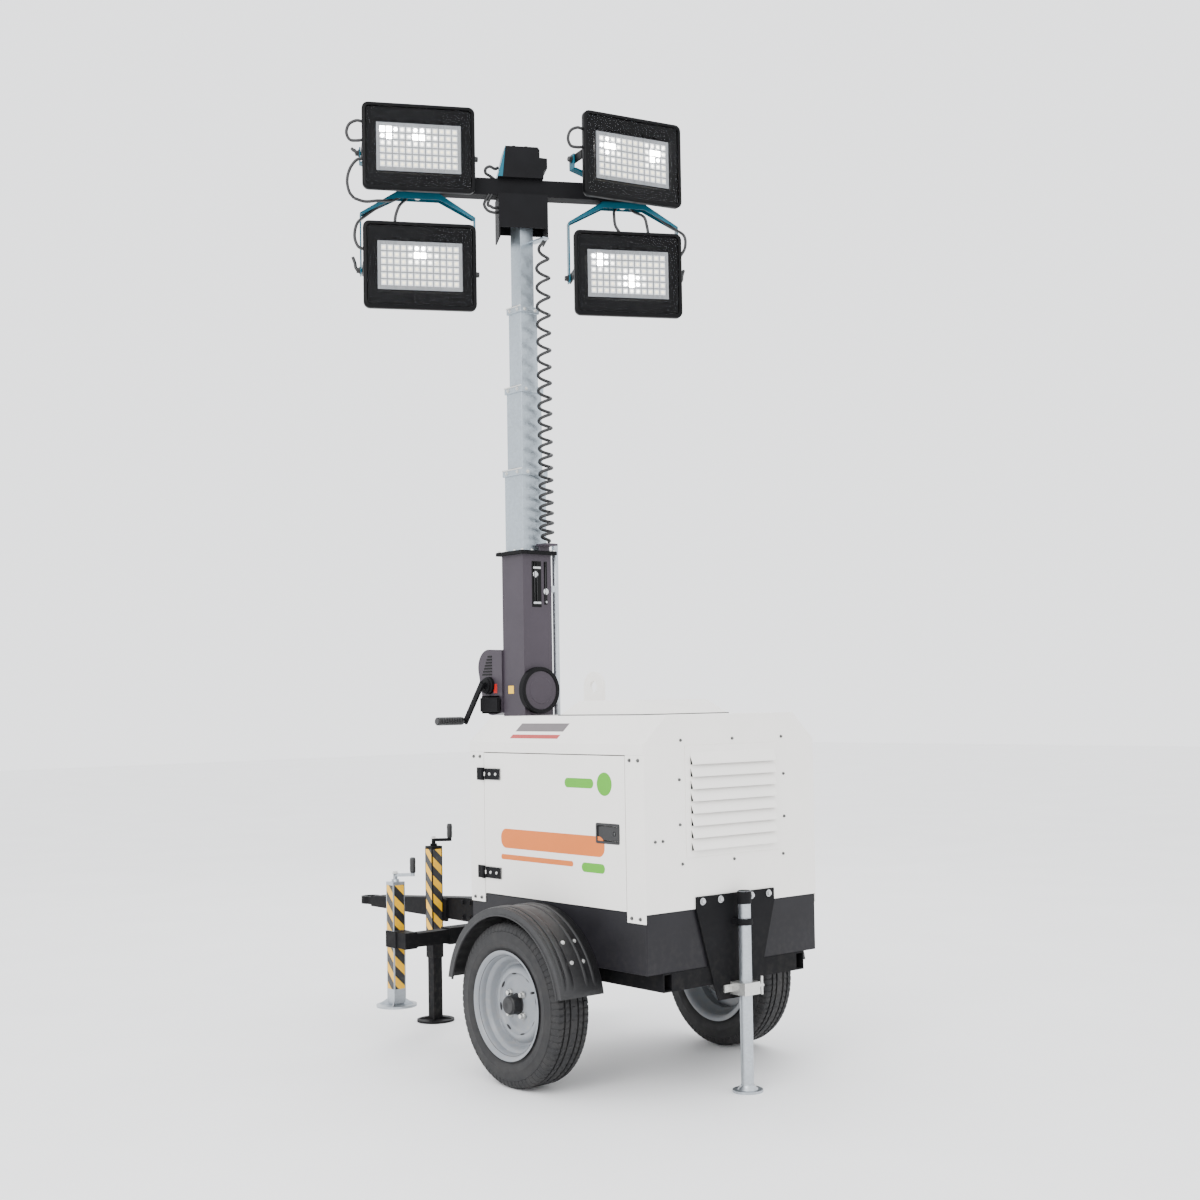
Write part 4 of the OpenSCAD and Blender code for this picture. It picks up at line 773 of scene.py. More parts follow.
def rounded_loop(bm, x, w, h, r, corner=6):
    """A closed loop of vertices: a rounded rectangle in Y and Z at x."""
    loop = []
    for cy, cz, first in ((1, 1, 0), (-1, 1, 90), (-1, -1, 180), (1, -1, 270)):
        for k in range(corner + 1):
            a = math.radians(first + 90 * k / corner)
            loop.append(bm.verts.new((x, cy * (w / 2 - r) + r * math.cos(a), cz * (h / 2 - r) + r * math.sin(a))))
    return loop


def loft(bm, sections, cap_first=True, cap_last=True):
    """Joins rounded rectangles (x, width, height, radius) one after another."""
    loops = [rounded_loop(bm, *s) for s in sections]
    for here, there in zip(loops, loops[1:]):
        join_loops(bm, here, there)
    if cap_first:
        bm.faces.new(list(reversed(loops[0])))
    if cap_last:
        bm.faces.new(loops[-1])


def lamp_place(level, side):
    """Matrix from a lamp's own frame, pivot on Y and light along +X, to the row frame."""
    joint = JOINTS[f"lamp_{level}_{side}_tilt"]
    y = Vector(joint["axis"]).normalized()
    z = Vector((0, 0, 1))
    x = y.cross(z)
    turn = Matrix((x, y, z)).transposed().to_4x4()
    return Matrix.Translation(Vector(joint["pos_m"])) @ turn


def lamp_size(level, side):
    """Width, height, and the X of the frame's back and front, from the CAD lamp in its own frame."""
    back = lamp_place(level, side).inverted()
    points = [back @ v.co for v in NODES[f"lamp_{level}_{side}"].data.vertices]
    front = max(p.x for p in points)
    tall = max(p.z for p in points)
    wide = max(abs(p.y) for p in points if p.z > tall * 0.5)
    return 2 * wide, 2 * tall, front - LAMP_FRAME_DEPTH, front


def lamp(level, side):
    name, body = f"lamp_{level}_{side}", f"lamp_{level}_{side}"
    place = lamp_place(level, side)
    w, h, x0, x1 = lamp_size(level, side)
    bm = bmesh.new()
    loft(bm, [(x0 + 0.004, w - 0.052, h - 0.052, 0.014), (x0 + 0.001, w - 0.030, h - 0.030, 0.018),
              (x0 + 0.001, w - 0.016, h - 0.016, 0.020), (x0 + 0.006, w - 0.004, h - 0.004, 0.022),
              (x0 + 0.012, w, h, 0.024), (x1 - 0.006, w, h, 0.024), (x1 - 0.002, w - 0.003, h - 0.003, 0.023),
              (x1, w - 0.009, h - 0.009, 0.021), (x1, w - 0.026, h - 0.026, 0.016),
              (x1 - 0.003, w - 0.029, h - 0.029, 0.015), (x1 - 0.020, w - 0.029, h - 0.029, 0.015)])
    sharpen(make(f"{name}_frame", bm, "lamp", body, replaces=(name,), place=place), 50)

    bm = bmesh.new()
    face = x1 - 0.0078
    loft(bm, [(face, w - 0.029, h - 0.029, 0.015), (face + 0.0012, w - 0.031, h - 0.031, 0.014),
              (face + 0.0012, BOARD_W + 0.022, BOARD_H + 0.022, 0.006),
              (face - 0.0028, BOARD_W + 0.010, BOARD_H + 0.010, 0.004),
              (face - 0.0028, BOARD_W - 0.004, BOARD_H - 0.004, 0.003)], cap_first=False, cap_last=False)
    make(f"{name}_mask", bm, "gloss", body, smooth=False, place=place)

    bm = bmesh.new()
    add_block(bm, (face - 0.0045, -BOARD_W / 2, -BOARD_H / 2), (face - 0.0022, BOARD_W / 2, BOARD_H / 2), 0.0005, 1)
    make(f"{name}_board", bm, "board", body, smooth=False, place=place)

    hot = PAINTED_GLINT_SPOTS[(level, side)]
    cells, lenses, warm, bright = bmesh.new(), bmesh.new(), bmesh.new(), bmesh.new()
    for i in range(LED_COLUMNS):
        for j in range(LED_ROWS):
            y = (i - (LED_COLUMNS - 1) / 2) * LED_STEP_Y
            z = (j - (LED_ROWS - 1) / 2) * LED_STEP_Z
            near = min(math.hypot(y - p, z - q) for p, q in hot)
            # LEDs close to a spot get the painted glint and the ring around it the painted halo; the nearest reflector
            # cells get the painted glint too.
            lens = bright if near < 0.032 else warm if near < 0.058 else lenses
            add_disc(lens, (face - 0.0014, y, z), (1, 0, 0),
                     [(0.0062, 0), (0.0062, 0.0008), (0.0052, 0.0024), (0.0030, 0.0034), (0, 0.0038)], 12)
            add_block(bright if near < 0.022 else cells, (face - 0.0026, y - 0.0098, z - 0.0104),
                      (face - 0.0012, y + 0.0098, z + 0.0104), 0.0004, 1)
    make(f"{name}_cells", cells, "cell", body, smooth=False, place=place)
    make(f"{name}_leds", lenses, "led", body, place=place)
    make(f"{name}_glint_halo_leds", warm, "warm", body, place=place)
    make(f"{name}_painted_glint_leds", bright, "hot", body, place=place)

    bm = bmesh.new()
    loft(bm, [(x1 - 0.0026, w - 0.030, h - 0.030, 0.0145), (x1 - 0.0006, w - 0.031, h - 0.031, 0.014)])
    make(f"{name}_glass", bm, "glass", body, smooth=False, place=place)

    bm = bmesh.new()
    fins = 19
    fin_depth = FIN_DEPTH_BY_BAR if name == "lamp_upper_right" else FIN_DEPTH
    for i in range(fins):
        y = (i - (fins - 1) / 2) * (w - 0.080) / (fins - 1)
        centre_gap = abs(y) < 0.126
        for z0, z1 in (((0.047, h / 2 - 0.030), (-h / 2 + 0.030, -0.047)) if centre_gap
                       else ((-h / 2 + 0.030, h / 2 - 0.030),)):
            add_block(bm, (x0 - fin_depth, y - 0.0016, z0), (x0 + 0.003, y + 0.0016, z1), 0.0007, 1)
    make(f"{name}_fins", bm, "lamp", body, smooth=False, place=place)

    bm = bmesh.new()
    loft(bm, [(-0.030, 0.226, 0.066, 0.010), (-0.029, 0.236, 0.078, 0.010), (-0.024, 0.248, 0.088, 0.010),
              (x0 + 0.002, 0.250, 0.090, 0.010)])
    for y in (-0.105, 0.105):
        for z in (-0.033, 0.033):
            add_hex_bolt(bm, (-0.0295, y, z), (-1, 0, 0), 0.004, 0.0035)
    sharpen(make(f"{name}_driver", bm, "lamp", body, place=place), 50)

    bm = bmesh.new()
    for s in (-1, 1):
        y0, y1 = sorted((s * (w / 2 - 0.006), s * (w / 2)))
        add_block(bm, (-0.016, y0, -0.018), (x0 + 0.006, y1, 0.018), 0.0015, 2)
        add_disc(bm, (0, s * (w / 2 - 0.005), 0), (0, s, 0), [(0.0075, 0), (0.0075, 0.010), (0, 0.010)], 16)
    sharpen(make(f"{name}_ears", bm, "lamp", body, place=place))

    bm = bmesh.new()
    knob_y = w / 2 + 0.008
    for s in (-1, 1):
        base = (0, s * knob_y, 0)
        add_disc(bm, base, (0, s, 0), [(0.0145, 0), (0.0145, 0.0025), (0.0105, 0.0035), (0.0105, 0.011),
                                       (0.0088, 0.0135), (0, 0.0138)], 20)
    sharpen(make(f"{name}_hubs", bm, "knob", body, place=place))
    bm = bmesh.new()
    outer = -1 if side == "left" else 1
    tip = Vector((-0.008, outer * (knob_y + 0.026), 0.052 if level == "lower" or side == "right" else 0.020))
    arm = [Vector((0, outer * (knob_y + 0.009), 0.0)), Vector((-0.002, outer * (knob_y + 0.016), 0.012)), tip * 0.55
           + Vector((0, outer * (knob_y + 0.009), 0)) * 0.45, tip]
    bm = sweep(spline(arm, 5), 0.0062, 12)
    make(f"{name}_lever", bm, "knob", body, place=place)


for level, side in LAMP_NAMES:
    lamp(level, side)

# ---- yokes: folded webs under the shoulders, swivel bolts ----

for level, side in LAMP_NAMES:
    name, body = f"yoke_{level}_{side}", f"yoke_{level}_{side}"
    place = lamp_place(level, side)
    w, h, x0, x1 = lamp_size(level, side)
    swivel = JOINTS[f"{name}_swivel"]["pos_m"][2]
    pivot = JOINTS[f"lamp_{level}_{side}_tilt"]["pos_m"][2]
    rise = swivel - pivot
    turned = 1 if rise > 0 else -1
    shoulder = 0.088 if level == "lower" else 0.040
    web = 0.026 if level == "lower" else 0.009
    arm = w / 2 + 0.007
    bm = bmesh.new()
    for x in (-0.020, 0.0175):
        outline = [(-arm, shoulder), (-0.080, 0.0), (0.080, 0.0), (arm, shoulder),
                   (arm - 0.010, shoulder + 0.004), (0.082, web), (-0.082, web), (-arm + 0.010, shoulder + 0.004)]
        add_slab(bm, [bm.verts.new((x, y, rise - turned * z)) for y, z in outline],
                 [bm.verts.new((x + YOKE_SHEET, y, rise - turned * z)) for y, z in outline])
    make(f"{name}_webs", bm, "yoke", body, smooth=False, place=place)
    bm = bmesh.new()
    add_hex_bolt(bm, (0, 0, rise - turned * 0.012), (0, 0, -turned), 0.011, 0.008)
    sharpen(make(f"{name}_nut", bm, "zinc", body, place=place))

# ---- lamp leads ----


def lead(name, level, side, route, body=None, blend=None):
    """A lamp lead through points in the lamp's own frame."""
    place = lamp_place(level, side)
    lamp_cord(name, [place @ p for p in spline(route, 7)], body, blend)


for level, side in LAMP_NAMES:
    w, h, x0, x1 = lamp_size(level, side)
    drop = JOINTS[f"yoke_{level}_{side}_swivel"]["pos_m"][2] - JOINTS[f"lamp_{level}_{side}_tilt"]["pos_m"][2]
    lamp_body, yoke_body = f"lamp_{level}_{side}", f"yoke_{level}_{side}"
    both = (lamp_body, yoke_body)
    edge, rear = -w / 2, x0 + 0.012
    if level == "upper":
        lead(f"lead_loop_{side}", level, side,
             [(rear, edge + 0.002, 0.094), (rear, edge - 0.020, 0.096), (rear - 0.004, edge - 0.046, 0.082),
              (rear - 0.008, edge - 0.056, 0.052), (rear - 0.010, edge - 0.044, 0.026),
              (rear - 0.006, edge - 0.020, 0.022), (rear - 0.002, edge + 0.002, 0.024)], body=lamp_body)
        if side == "left":
            lead("lead_drop_left", level, side,
                 [(rear, edge + 0.002, -0.048), (rear, edge - 0.020, -0.054), (rear - 0.004, edge - 0.044, -0.086),
                  (rear - 0.006, edge - 0.055, -0.130), (rear - 0.008, edge - 0.048, -0.172),
                  (rear - 0.010, edge - 0.030, -0.196)], blend=both)
            lead("lead_bar_left", level, side,
                 [(rear - 0.010, edge - 0.030, -0.196), (rear - 0.012, edge + 0.010, -0.206),
                  (rear - 0.014, edge + 0.060, -0.200), (0.016, edge + 0.115, -0.180),
                  (0.014, edge + 0.160, -0.152), (0.012, -0.0375, -0.128)], blend=(yoke_body, "head"))
        else:
            lead("lead_back_right", level, side,
                 [(-0.031, 0.060, -0.020), (-0.052, 0.066, -0.022), (-0.078, 0.100, -0.040),
                  (-0.086, 0.165, -0.052), (-0.074, 0.205, -0.064), (-0.050, 0.180, -0.072),
                  (-0.034, 0.130, drop + 0.016), (-0.0235, 0.085, drop + 0.014)], blend=both)
    elif side == "left":
        lead("lead_side_left", level, side,
             [(rear, edge + 0.002, 0.060), (rear, edge - 0.018, 0.070), (rear - 0.004, edge - 0.030, 0.108),
              (rear - 0.010, edge - 0.020, 0.158), (0.010, edge + 0.012, 0.206), (0.004, edge + 0.062, 0.246),
              (0.002, edge + 0.120, drop - 0.016), (0.000, -0.068, drop - 0.0075)], blend=both)
        lead("lead_top_left", level, side,
             [(0.006, -0.034, drop - 0.010), (0.010, -0.048, drop - 0.030), (rear, -0.074, drop - 0.074),
              (rear, -0.088, drop - 0.110), (rear, -0.092, h / 2 + 0.001)], blend=both)
    else:
        lead("lead_top_right", level, side,
             [(0.006, -0.016, drop - 0.010), (0.010, -0.034, drop - 0.034), (rear, -0.050, drop - 0.074),
              (rear, -0.046, drop - 0.112), (rear, -0.030, h / 2 + 0.001)], blend=both)
        lead("lead_cross_right", level, side,
             [(0.006, 0.022, drop - 0.010), (0.010, 0.044, drop - 0.034), (rear, 0.068, drop - 0.074),
              (rear, 0.080, drop - 0.112), (rear, 0.084, h / 2 + 0.001)], blend=both)
        lead("lead_side_right", level, side,
             [(0.000, 0.068, drop - 0.0075), (0.002, -edge - 0.120, drop - 0.016), (0.004, -edge - 0.062, 0.252),
              (0.010, -edge - 0.018, 0.216), (rear - 0.008, -edge + 0.016, 0.168),
              (rear - 0.004, -edge + 0.020, 0.120), (rear, -edge - 0.002, 0.080)], blend=both)

# ---- lamp head: side panel, bar caps, vents and leads ----

head_turn = lamp_place("lower", "left").to_3x3().to_4x4()
bar_low = JOINTS["yoke_lower_left_swivel"]["pos_m"][2]
bar_high = JOINTS["yoke_upper_left_swivel"]["pos_m"][2]
bm = bmesh.new()
wedge = [(-0.0785, bar_high + 0.001), (-0.0665, bar_high + 0.1195), (-0.0655, bar_high + 0.1215),
         (-0.0968, bar_high + 0.001)]
for x in (-0.0606, 0.0606):
    add_slab(bm, [bm.verts.new((x, y, z)) for y, z in wedge], [bm.verts.new((x * 0.97, y, z)) for y, z in wedge])
slant = [(-0.0968, bar_high + 0.001), (-0.0668, bar_high + 0.1215), (-0.0655, bar_high + 0.1205),
         (-0.0950, bar_high + 0.001)]
add_slab(bm, [bm.verts.new((0.0604, y, z)) for y, z in slant], [bm.verts.new((-0.0604, y, z)) for y, z in slant])
make("head_side_panel", bm, "yoke", "head", smooth=False, place=head_turn)
bm = bmesh.new()
for s in (-1, 1):
    add_block(bm, (-0.0345, s * 0.4325 - 0.0035, bar_low - 0.002), (0.0345, s * 0.4325 + 0.0035, bar_high + 0.002),
              0.0015, 2)
sharpen(make("head_bar_caps", bm, "plastic", "head", place=head_turn))
bm = bmesh.new()
for y, z in ((-0.028, bar_high + 0.120), (0.020, bar_high + 0.120)):
    add_disc(bm, (0.010, y, z - 0.001), (0, 0, 1), [(0.014, 0), (0.014, 0.005), (0.011, 0.006), (0.011, 0.014),
                                                    (0.008, 0.018), (0, 0.018)], 8)
sharpen(make("head_vents", bm, "plastic", "head", place=head_turn))
loop = [(0.020, -0.090, bar_high + 0.046), (0.022, -0.104, bar_high + 0.040), (0.028, -0.124, bar_high + 0.046),
        (0.030, -0.140, bar_high + 0.036), (0.026, -0.140, bar_high + 0.020), (0.018, -0.122, bar_high + 0.012),
        (0.014, -0.104, bar_high + 0.001)]
lamp_cord("lead_head_curl", [head_turn @ p for p in spline(loop, 7)], "head")
for k in (0, 1):
    loop = [(0.030, -0.128 + 0.012 * k, bar_low + 0.002), (0.030, -0.140 + 0.012 * k, bar_low - 0.018),
            (0.033, -0.148 + 0.014 * k, bar_low - 0.040), (0.036, -0.136 + 0.012 * k, bar_low - 0.062 + 0.016 * k),
            (0.036, -0.112, bar_low - 0.070 + 0.018 * k), (0.034, -0.0945, bar_low - 0.066 + 0.018 * k)]
    lamp_cord(f"lead_head_hook_{k + 1}", [head_turn @ p for p in spline(loop, 7)], "head")

# ---- mast: guide plates, bolts, ropes and pulleys ----

MAST_HALF = 0.0675
MAST_TOP = 1.854
bm = bmesh.new()
for x in (-0.074, -0.026, 0.026, 0.074):
    for s in (-1, 1):
        add_hex_bolt(bm, (x, s * 0.0745, MAST_TOP), (0, 0, 1), 0.0055, 0.005)
for y in (-0.030, 0.058):
    for s in (-1, 1):
        add_hex_bolt(bm, (s * 0.0745, y, MAST_TOP), (0, 0, 1), 0.0055, 0.005)
sharpen(make("mast_collar_bolts", bm, "zinc", "trailer"))
bm = bmesh.new()
for s in (-1, 1):
    y0, y1 = sorted((s * 0.0585, s * 0.0845))
    add_block(bm, (-0.0845, y0, MAST_TOP - 0.0135), (0.0845, y1, MAST_TOP + 0.0008), 0.0012, 2)
    add_block(bm, (y0, -0.0588, MAST_TOP - 0.0135), (y1, 0.0588, MAST_TOP + 0.0008), 0.0012, 2)
make("mast_collar_plate", bm, "black", "trailer", smooth=False)

# Painted shade: thin gloss black sheets on the mast face stand in for the shade inside the guide recess where the
# rollers and ropes sit.
bm = bmesh.new()
RECESS = ((-0.026, 0.018), (1.640, 1.815))
x = MAST_HALF
add_block(bm, (x, RECESS[0][0], RECESS[1][0]), (x + 0.0012, RECESS[0][1], RECESS[1][1]), 0.0004, 1)
add_block(bm, (x, 0.032, 1.650), (x + 0.0012, 0.046, 1.815), 0.0004, 1)
make("mast_recess", bm, "gloss", "trailer", smooth=False)
bm = bmesh.new()
for z in (1.652, 1.786):
    add_block(bm, (x + 0.001, RECESS[0][0] + 0.004, z), (x + 0.005, RECESS[0][1] - 0.004, z + 0.008), 0.001, 2)
add_block(bm, (x + 0.001, 0.034, 1.656), (x + 0.0045, 0.044, 1.664), 0.001, 2)
for y in (-0.010, 0.039):
    add_disc(bm, (x + 0.001, y, 1.765 if y < 0 else 1.70), (1, 0, 0),
             [(0.012, 0), (0.012, 0.002), (0.006, 0.003), (0.006, 0.005), (0, 0.005)], 20)
sharpen(make("mast_rollers", bm, "steel", "trailer"))
bm = bmesh.new()
for y in (-0.016, -0.004, 0.036):
    points = [(x + 0.0035, y, 1.655), (x + 0.0035, y, 1.735), (x + 0.0035, y, 1.812)]
    piece = sweep(points, 0.0016, 6)
    mesh = bpy.data.meshes.new("rope")
    piece.to_mesh(mesh)
    piece.free()
    bm.from_mesh(mesh)
    bpy.data.meshes.remove(mesh)
make("mast_ropes", bm, "plastic", "trailer")

for i in (1, 2, 3):
    low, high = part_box(f"mast_section_{i}")
    half = (high.y - low.y) / 2
    bm = bmesh.new()
    for s in (-1, 1):
        for y in (-half * 0.55, half * 0.55):
            add_hex_bolt(bm, (s * half, y, high.z - 0.0125), (s, 0, 0), 0.0048, 0.0045)
            add_hex_bolt(bm, (y, s * half, high.z - 0.0125), (0, s, 0), 0.0048, 0.0045)
    for s in (-1, 1):
        add_block(bm, (-half - 0.001, s * (half + 0.0005) - 0.0015, high.z - 0.004),
                  (half + 0.001, s * (half + 0.0005) + 0.0015, high.z + 0.0015), 0.0006, 1)
    sharpen(make(f"mast_guide_{i}", bm, "zinc", f"mast_{i}"))
    bm = bmesh.new()
    for s in (-1, 1):
        add_block(bm, (-0.020, s * half * 0.80 - 0.006, high.z - 0.001),
                  (0.020, s * half * 0.80 + 0.006, high.z + 0.005), 0.001, 2)
    sharpen(make(f"mast_pads_{i}", bm, "plastic", f"mast_{i}"))

# ---- winch ----

winch_joint = JOINTS["winch_crank_turn"]["pos_m"]
wx, wz = winch_joint[0], winch_joint[2]
near = -0.075
# Painted shade: thin gloss black slats on the housing stand in for the shade inside the vent slots.
bm = bmesh.new()
for k in range(7):
    z = wz + 0.112 - k * 0.0115
    add_block(bm, (wx - 0.010 - 0.0062 * k, near - 0.0014, z - 0.0036), (wx + 0.018, near + 0.001, z + 0.0036),
              0.0008, 1)
make("winch_vents", bm, "gloss", "trailer", smooth=False)
bm = bmesh.new()
add_block(bm, (wx - 0.052, near - 0.014, wz - 0.108), (wx + 0.078, near + 0.002, wz - 0.040), 0.010, 3)
add_disc(bm, (wx, near + 0.001, wz), (0, -1, 0), [(0.034, 0), (0.034, 0.012), (0.029, 0.016), (0.029, 0.022),
                                                  (0.0125, 0.022)], 36)
sharpen(make("winch_gearbox", bm, "black", "trailer"))
bm = bmesh.new()
add_block(bm, (wx + 0.028, near - 0.0012, wz - 0.030), (wx + 0.050, near + 0.001, wz + 0.006), 0.001, 2)
make("winch_pawl", bm, "red", "trailer", smooth=False)
crank_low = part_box("winch_crank")[0]
grip_x, grip_z = crank_low.x + 0.015, crank_low.z + 0.015
bm = bmesh.new()
profile = [(0.0125, -0.002), (0.0158, 0.003)]
for k in range(9):
    y = 0.008 + k * 0.0118
    profile += [(0.0164, y), (0.0164, y + 0.0070), (0.0153, y + 0.0080), (0.0153, y + 0.0108)]
profile += [(0.0162, 0.1150), (0.0135, 0.1195), (0, 0.1200)]
add_disc(bm, (grip_x, crank_low.y + 0.118, grip_z), (0, -1, 0), profile, 24)
sharpen(make("winch_grip", bm, "knob", "winch_crank"))
disc_x = MAST_HALF + 0.020
disc_z = 1.323
bm = bmesh.new()
add_disc(bm, (disc_x - 0.021, -0.006, disc_z), (1, 0, 0),
         [(0.0885, 0.001), (0.0885, 0.0225), (0.0865, 0.0255), (0.0745, 0.0255), (0.0725, 0.0215)], 72)
sharpen(make("mast_disc_rim", bm, "black", "trailer"))
bm = bmesh.new()
add_disc(bm, (disc_x - 0.001, -0.006, disc_z), (1, 0, 0),
         [(0.0728, 0), (0.0728, 0.0016), (0.052, 0.0024), (0.050, 0.0038), (0.016, 0.0042), (0, 0.0042)], 72)
sharpen(make("mast_disc_face", bm, "mast", "trailer"))
bm = bmesh.new()
add_block(bm, (-0.036, -MAST_HALF - 0.0006, 1.312), (-0.002, -MAST_HALF + 0.0004, 1.342), 0.0002, 1)
make("mast_label", bm, "label", "trailer", smooth=False)

# ---- jacks: hazard tape, grips, nuts and foot ribs ----

TAPE = 0.0004  # half the thickness of the hazard tape
for name, body in (("jack_tube_left", "outrigger_left"), ("jack_tube_right", "outrigger_right"),
                   ("tow_jack_tube", "trailer")):
    low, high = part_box(name)
    if name == "tow_jack_tube":
        cx, cy = JOINTS["tow_crank_turn"]["pos_m"][:2]
    else:
        cx, cy = (low.x + high.x) / 2, (low.y + high.y) / 2
    bm = bmesh.new()
    z0, z1 = high.z - TAPE_BOTTOM, high.z - TAPE_TOP
    gap_low, gap_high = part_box("outrigger_arm_left")
    for axis in (0, 1):
        for s in (-1, 1):
            spans = [(z0, z1)]
            blocked = name == "tow_jack_tube" and axis == 1 and s == 1
            if blocked or (name != "tow_jack_tube"):
                edge0 = gap_low.z - 0.002 if not blocked else TOW_CLAMP_Z[0]
                edge1 = gap_high.z + 0.002 if not blocked else TOW_CLAMP_Z[1]
                spans = [(z0, edge0), (edge1, z1)]
            for a, b in spans:
                if b - a < 0.01:
                    continue
                if axis == 0:
                    face = cx + s * JACK_HALF
                    add_block(bm, (face - TAPE, cy - TAPE_HALF, a), (face + TAPE, cy + TAPE_HALF, b), 0.0001, 1)
                else:
                    face = cy + s * JACK_HALF
                    add_block(bm, (cx - TAPE_HALF, face - TAPE, a), (cx + TAPE_HALF, face + TAPE, b), 0.0001, 1)
    make(f"{name}_tape", bm, "hazard", body, smooth=False)

for crank, leg, body, leg_body in (("jack_crank_left", "jack_leg_left", "crank_left", "leg_left"),
                                   ("jack_crank_right", "jack_leg_right", "crank_right", "leg_right"),
                                   ("tow_jack_crank", "tow_jack_leg", "tow_crank", "tow_leg")):
    low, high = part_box(crank)
    joint = JOINTS[{"crank_left": "crank_left_turn", "crank_right": "crank_right_turn",
                    "tow_crank": "tow_crank_turn"}[body]]["pos_m"]
    a = math.radians(CRANK_DEGREES)
    grip = Vector((joint[0] + CRANK_ARM * math.cos(a), joint[1] + CRANK_ARM * math.sin(a), high.z - 0.0565))
    bm = bmesh.new()
    add_disc(bm, grip, (0, 0, 1), [(0.0095, 0), (0.0106, 0.003), (0.0112, 0.016), (0.0106, 0.029), (0.0112, 0.042),
                                   (0.0104, 0.053), (0.007, 0.0568), (0, 0.0572)], 20)
    make(f"{crank}_grip", bm, "knob", body)
    bm = bmesh.new()
    add_hex_bolt(bm, (joint[0], joint[1], high.z - 0.058), (0, 0, 1), 0.0085, 0.007)
    sharpen(make(f"{crank}_nut", bm, "zinc", body))
    foot_low, foot_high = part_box(leg)
    cx, cy = (foot_low.x + foot_high.x) / 2, (foot_low.y + foot_high.y) / 2
    r = (foot_high.x - foot_low.x) / 2
    tow = leg == "tow_jack_leg"
    rib_rise = TOW_RIB_RISE if tow else RIB_RISE
    bm = bmesh.new()
    for k in range(4):
        a = math.radians(45 + 90 * k)
        c, s = math.cos(a), math.sin(a)
        n = Vector((-s, c, 0)) * 0.002
        z = foot_low.z + 0.0075
        tri = [Vector((cx + 0.024 * c, cy + 0.024 * s, z)), Vector((cx + (r - 0.012) * c, cy + (r - 0.012) * s, z)),
               Vector((cx + (r - 0.012) * c, cy + (r - 0.012) * s, z + 0.003)),
               Vector((cx + 0.024 * c, cy + 0.024 * s, z + rib_rise))]
        add_slab(bm, [bm.verts.new(p + n) for p in tri], [bm.verts.new(p - n) for p in tri])
    make(f"{leg}_ribs", bm, "black" if tow else "galv_fine", leg_body,
         smooth=False)

# ---- rear jack ----

leg_low, leg_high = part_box("rear_jack_leg")
jack_x = (leg_low.x + leg_high.x) / 2
bm = bmesh.new()
add_disc(bm, (jack_x, 0, leg_high.z - 0.041), (0, 0, 1),
         [(0.0236, 0), (0.0240, 0.003), (0.0240, 0.036), (0.0225, 0.0405), (0.019, 0.0425), (0, 0.0430)], 40)
sharpen(make("rear_jack_cap", bm, "black", "rear_leg"), 40)
bm = bmesh.new()
add_disc(bm, (jack_x, 0, leg_low.z + 0.0075), (0, 0, 1),
         [(0.034, 0), (0.032, 0.003), (0.0245, 0.010), (0.0225, 0.016), (0.0212, 0.016)], 40)
sharpen(make("rear_jack_weld", bm, "galv_fine", "rear_leg"), 40)
clamp_low, clamp_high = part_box("rear_jack_clamp")
bm = bmesh.new()
for y in (clamp_low.y + 0.015, -clamp_low.y - 0.015):
    add_hex_bolt(bm, (clamp_low.x + 0.006, y, (clamp_low.z + clamp_high.z) / 2), (1, 0, 0), 0.0062, 0.0055)
sharpen(make("rear_clamp_bolts", bm, "zinc", "trailer"))

# ---- enclosure: hood seal, latches, hinge straps and plain colour marks ----

door_low, door_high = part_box("door_left")
roof_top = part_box("roof_panel")[1].z
STRAP_X0 = 0.2570


def frame_ring(bm, centre, half_u, half_v, width, depth, u, v, n):
    """A flat rectangular ring with rounded outer corners, standing on a face."""
    centre, u, v, n = Vector(centre), Vector(u), Vector(v), Vector(n)
    def ring(hu, hv, r, h):
        pts = []
        for cu, cv, first in ((1, 1, 0), (-1, 1, 90), (-1, -1, 180), (1, -1, 270)):
            for k in range(5):
                a = math.radians(first + 22.5 * k)
                pts.append(bm.verts.new(centre + u * (cu * (hu - r) + r * math.cos(a))
                                        + v * (cv * (hv - r) + r * math.sin(a)) + n * h))
        return pts
    loops = [ring(half_u + width, half_v + width, 0.006, 0.0), ring(half_u + width, half_v + width, 0.006, depth * 0.6),
             ring(half_u + width - 0.002, half_v + width - 0.002, 0.005, depth),
             ring(half_u + 0.001, half_v + 0.001, 0.003, depth), ring(half_u, half_v, 0.003, depth * 0.5),
             ring(half_u, half_v, 0.003, -0.010)]
    loops.append(loops[0])
    for here, there in zip(loops, loops[1:]):
        join_loops(bm, here, there)


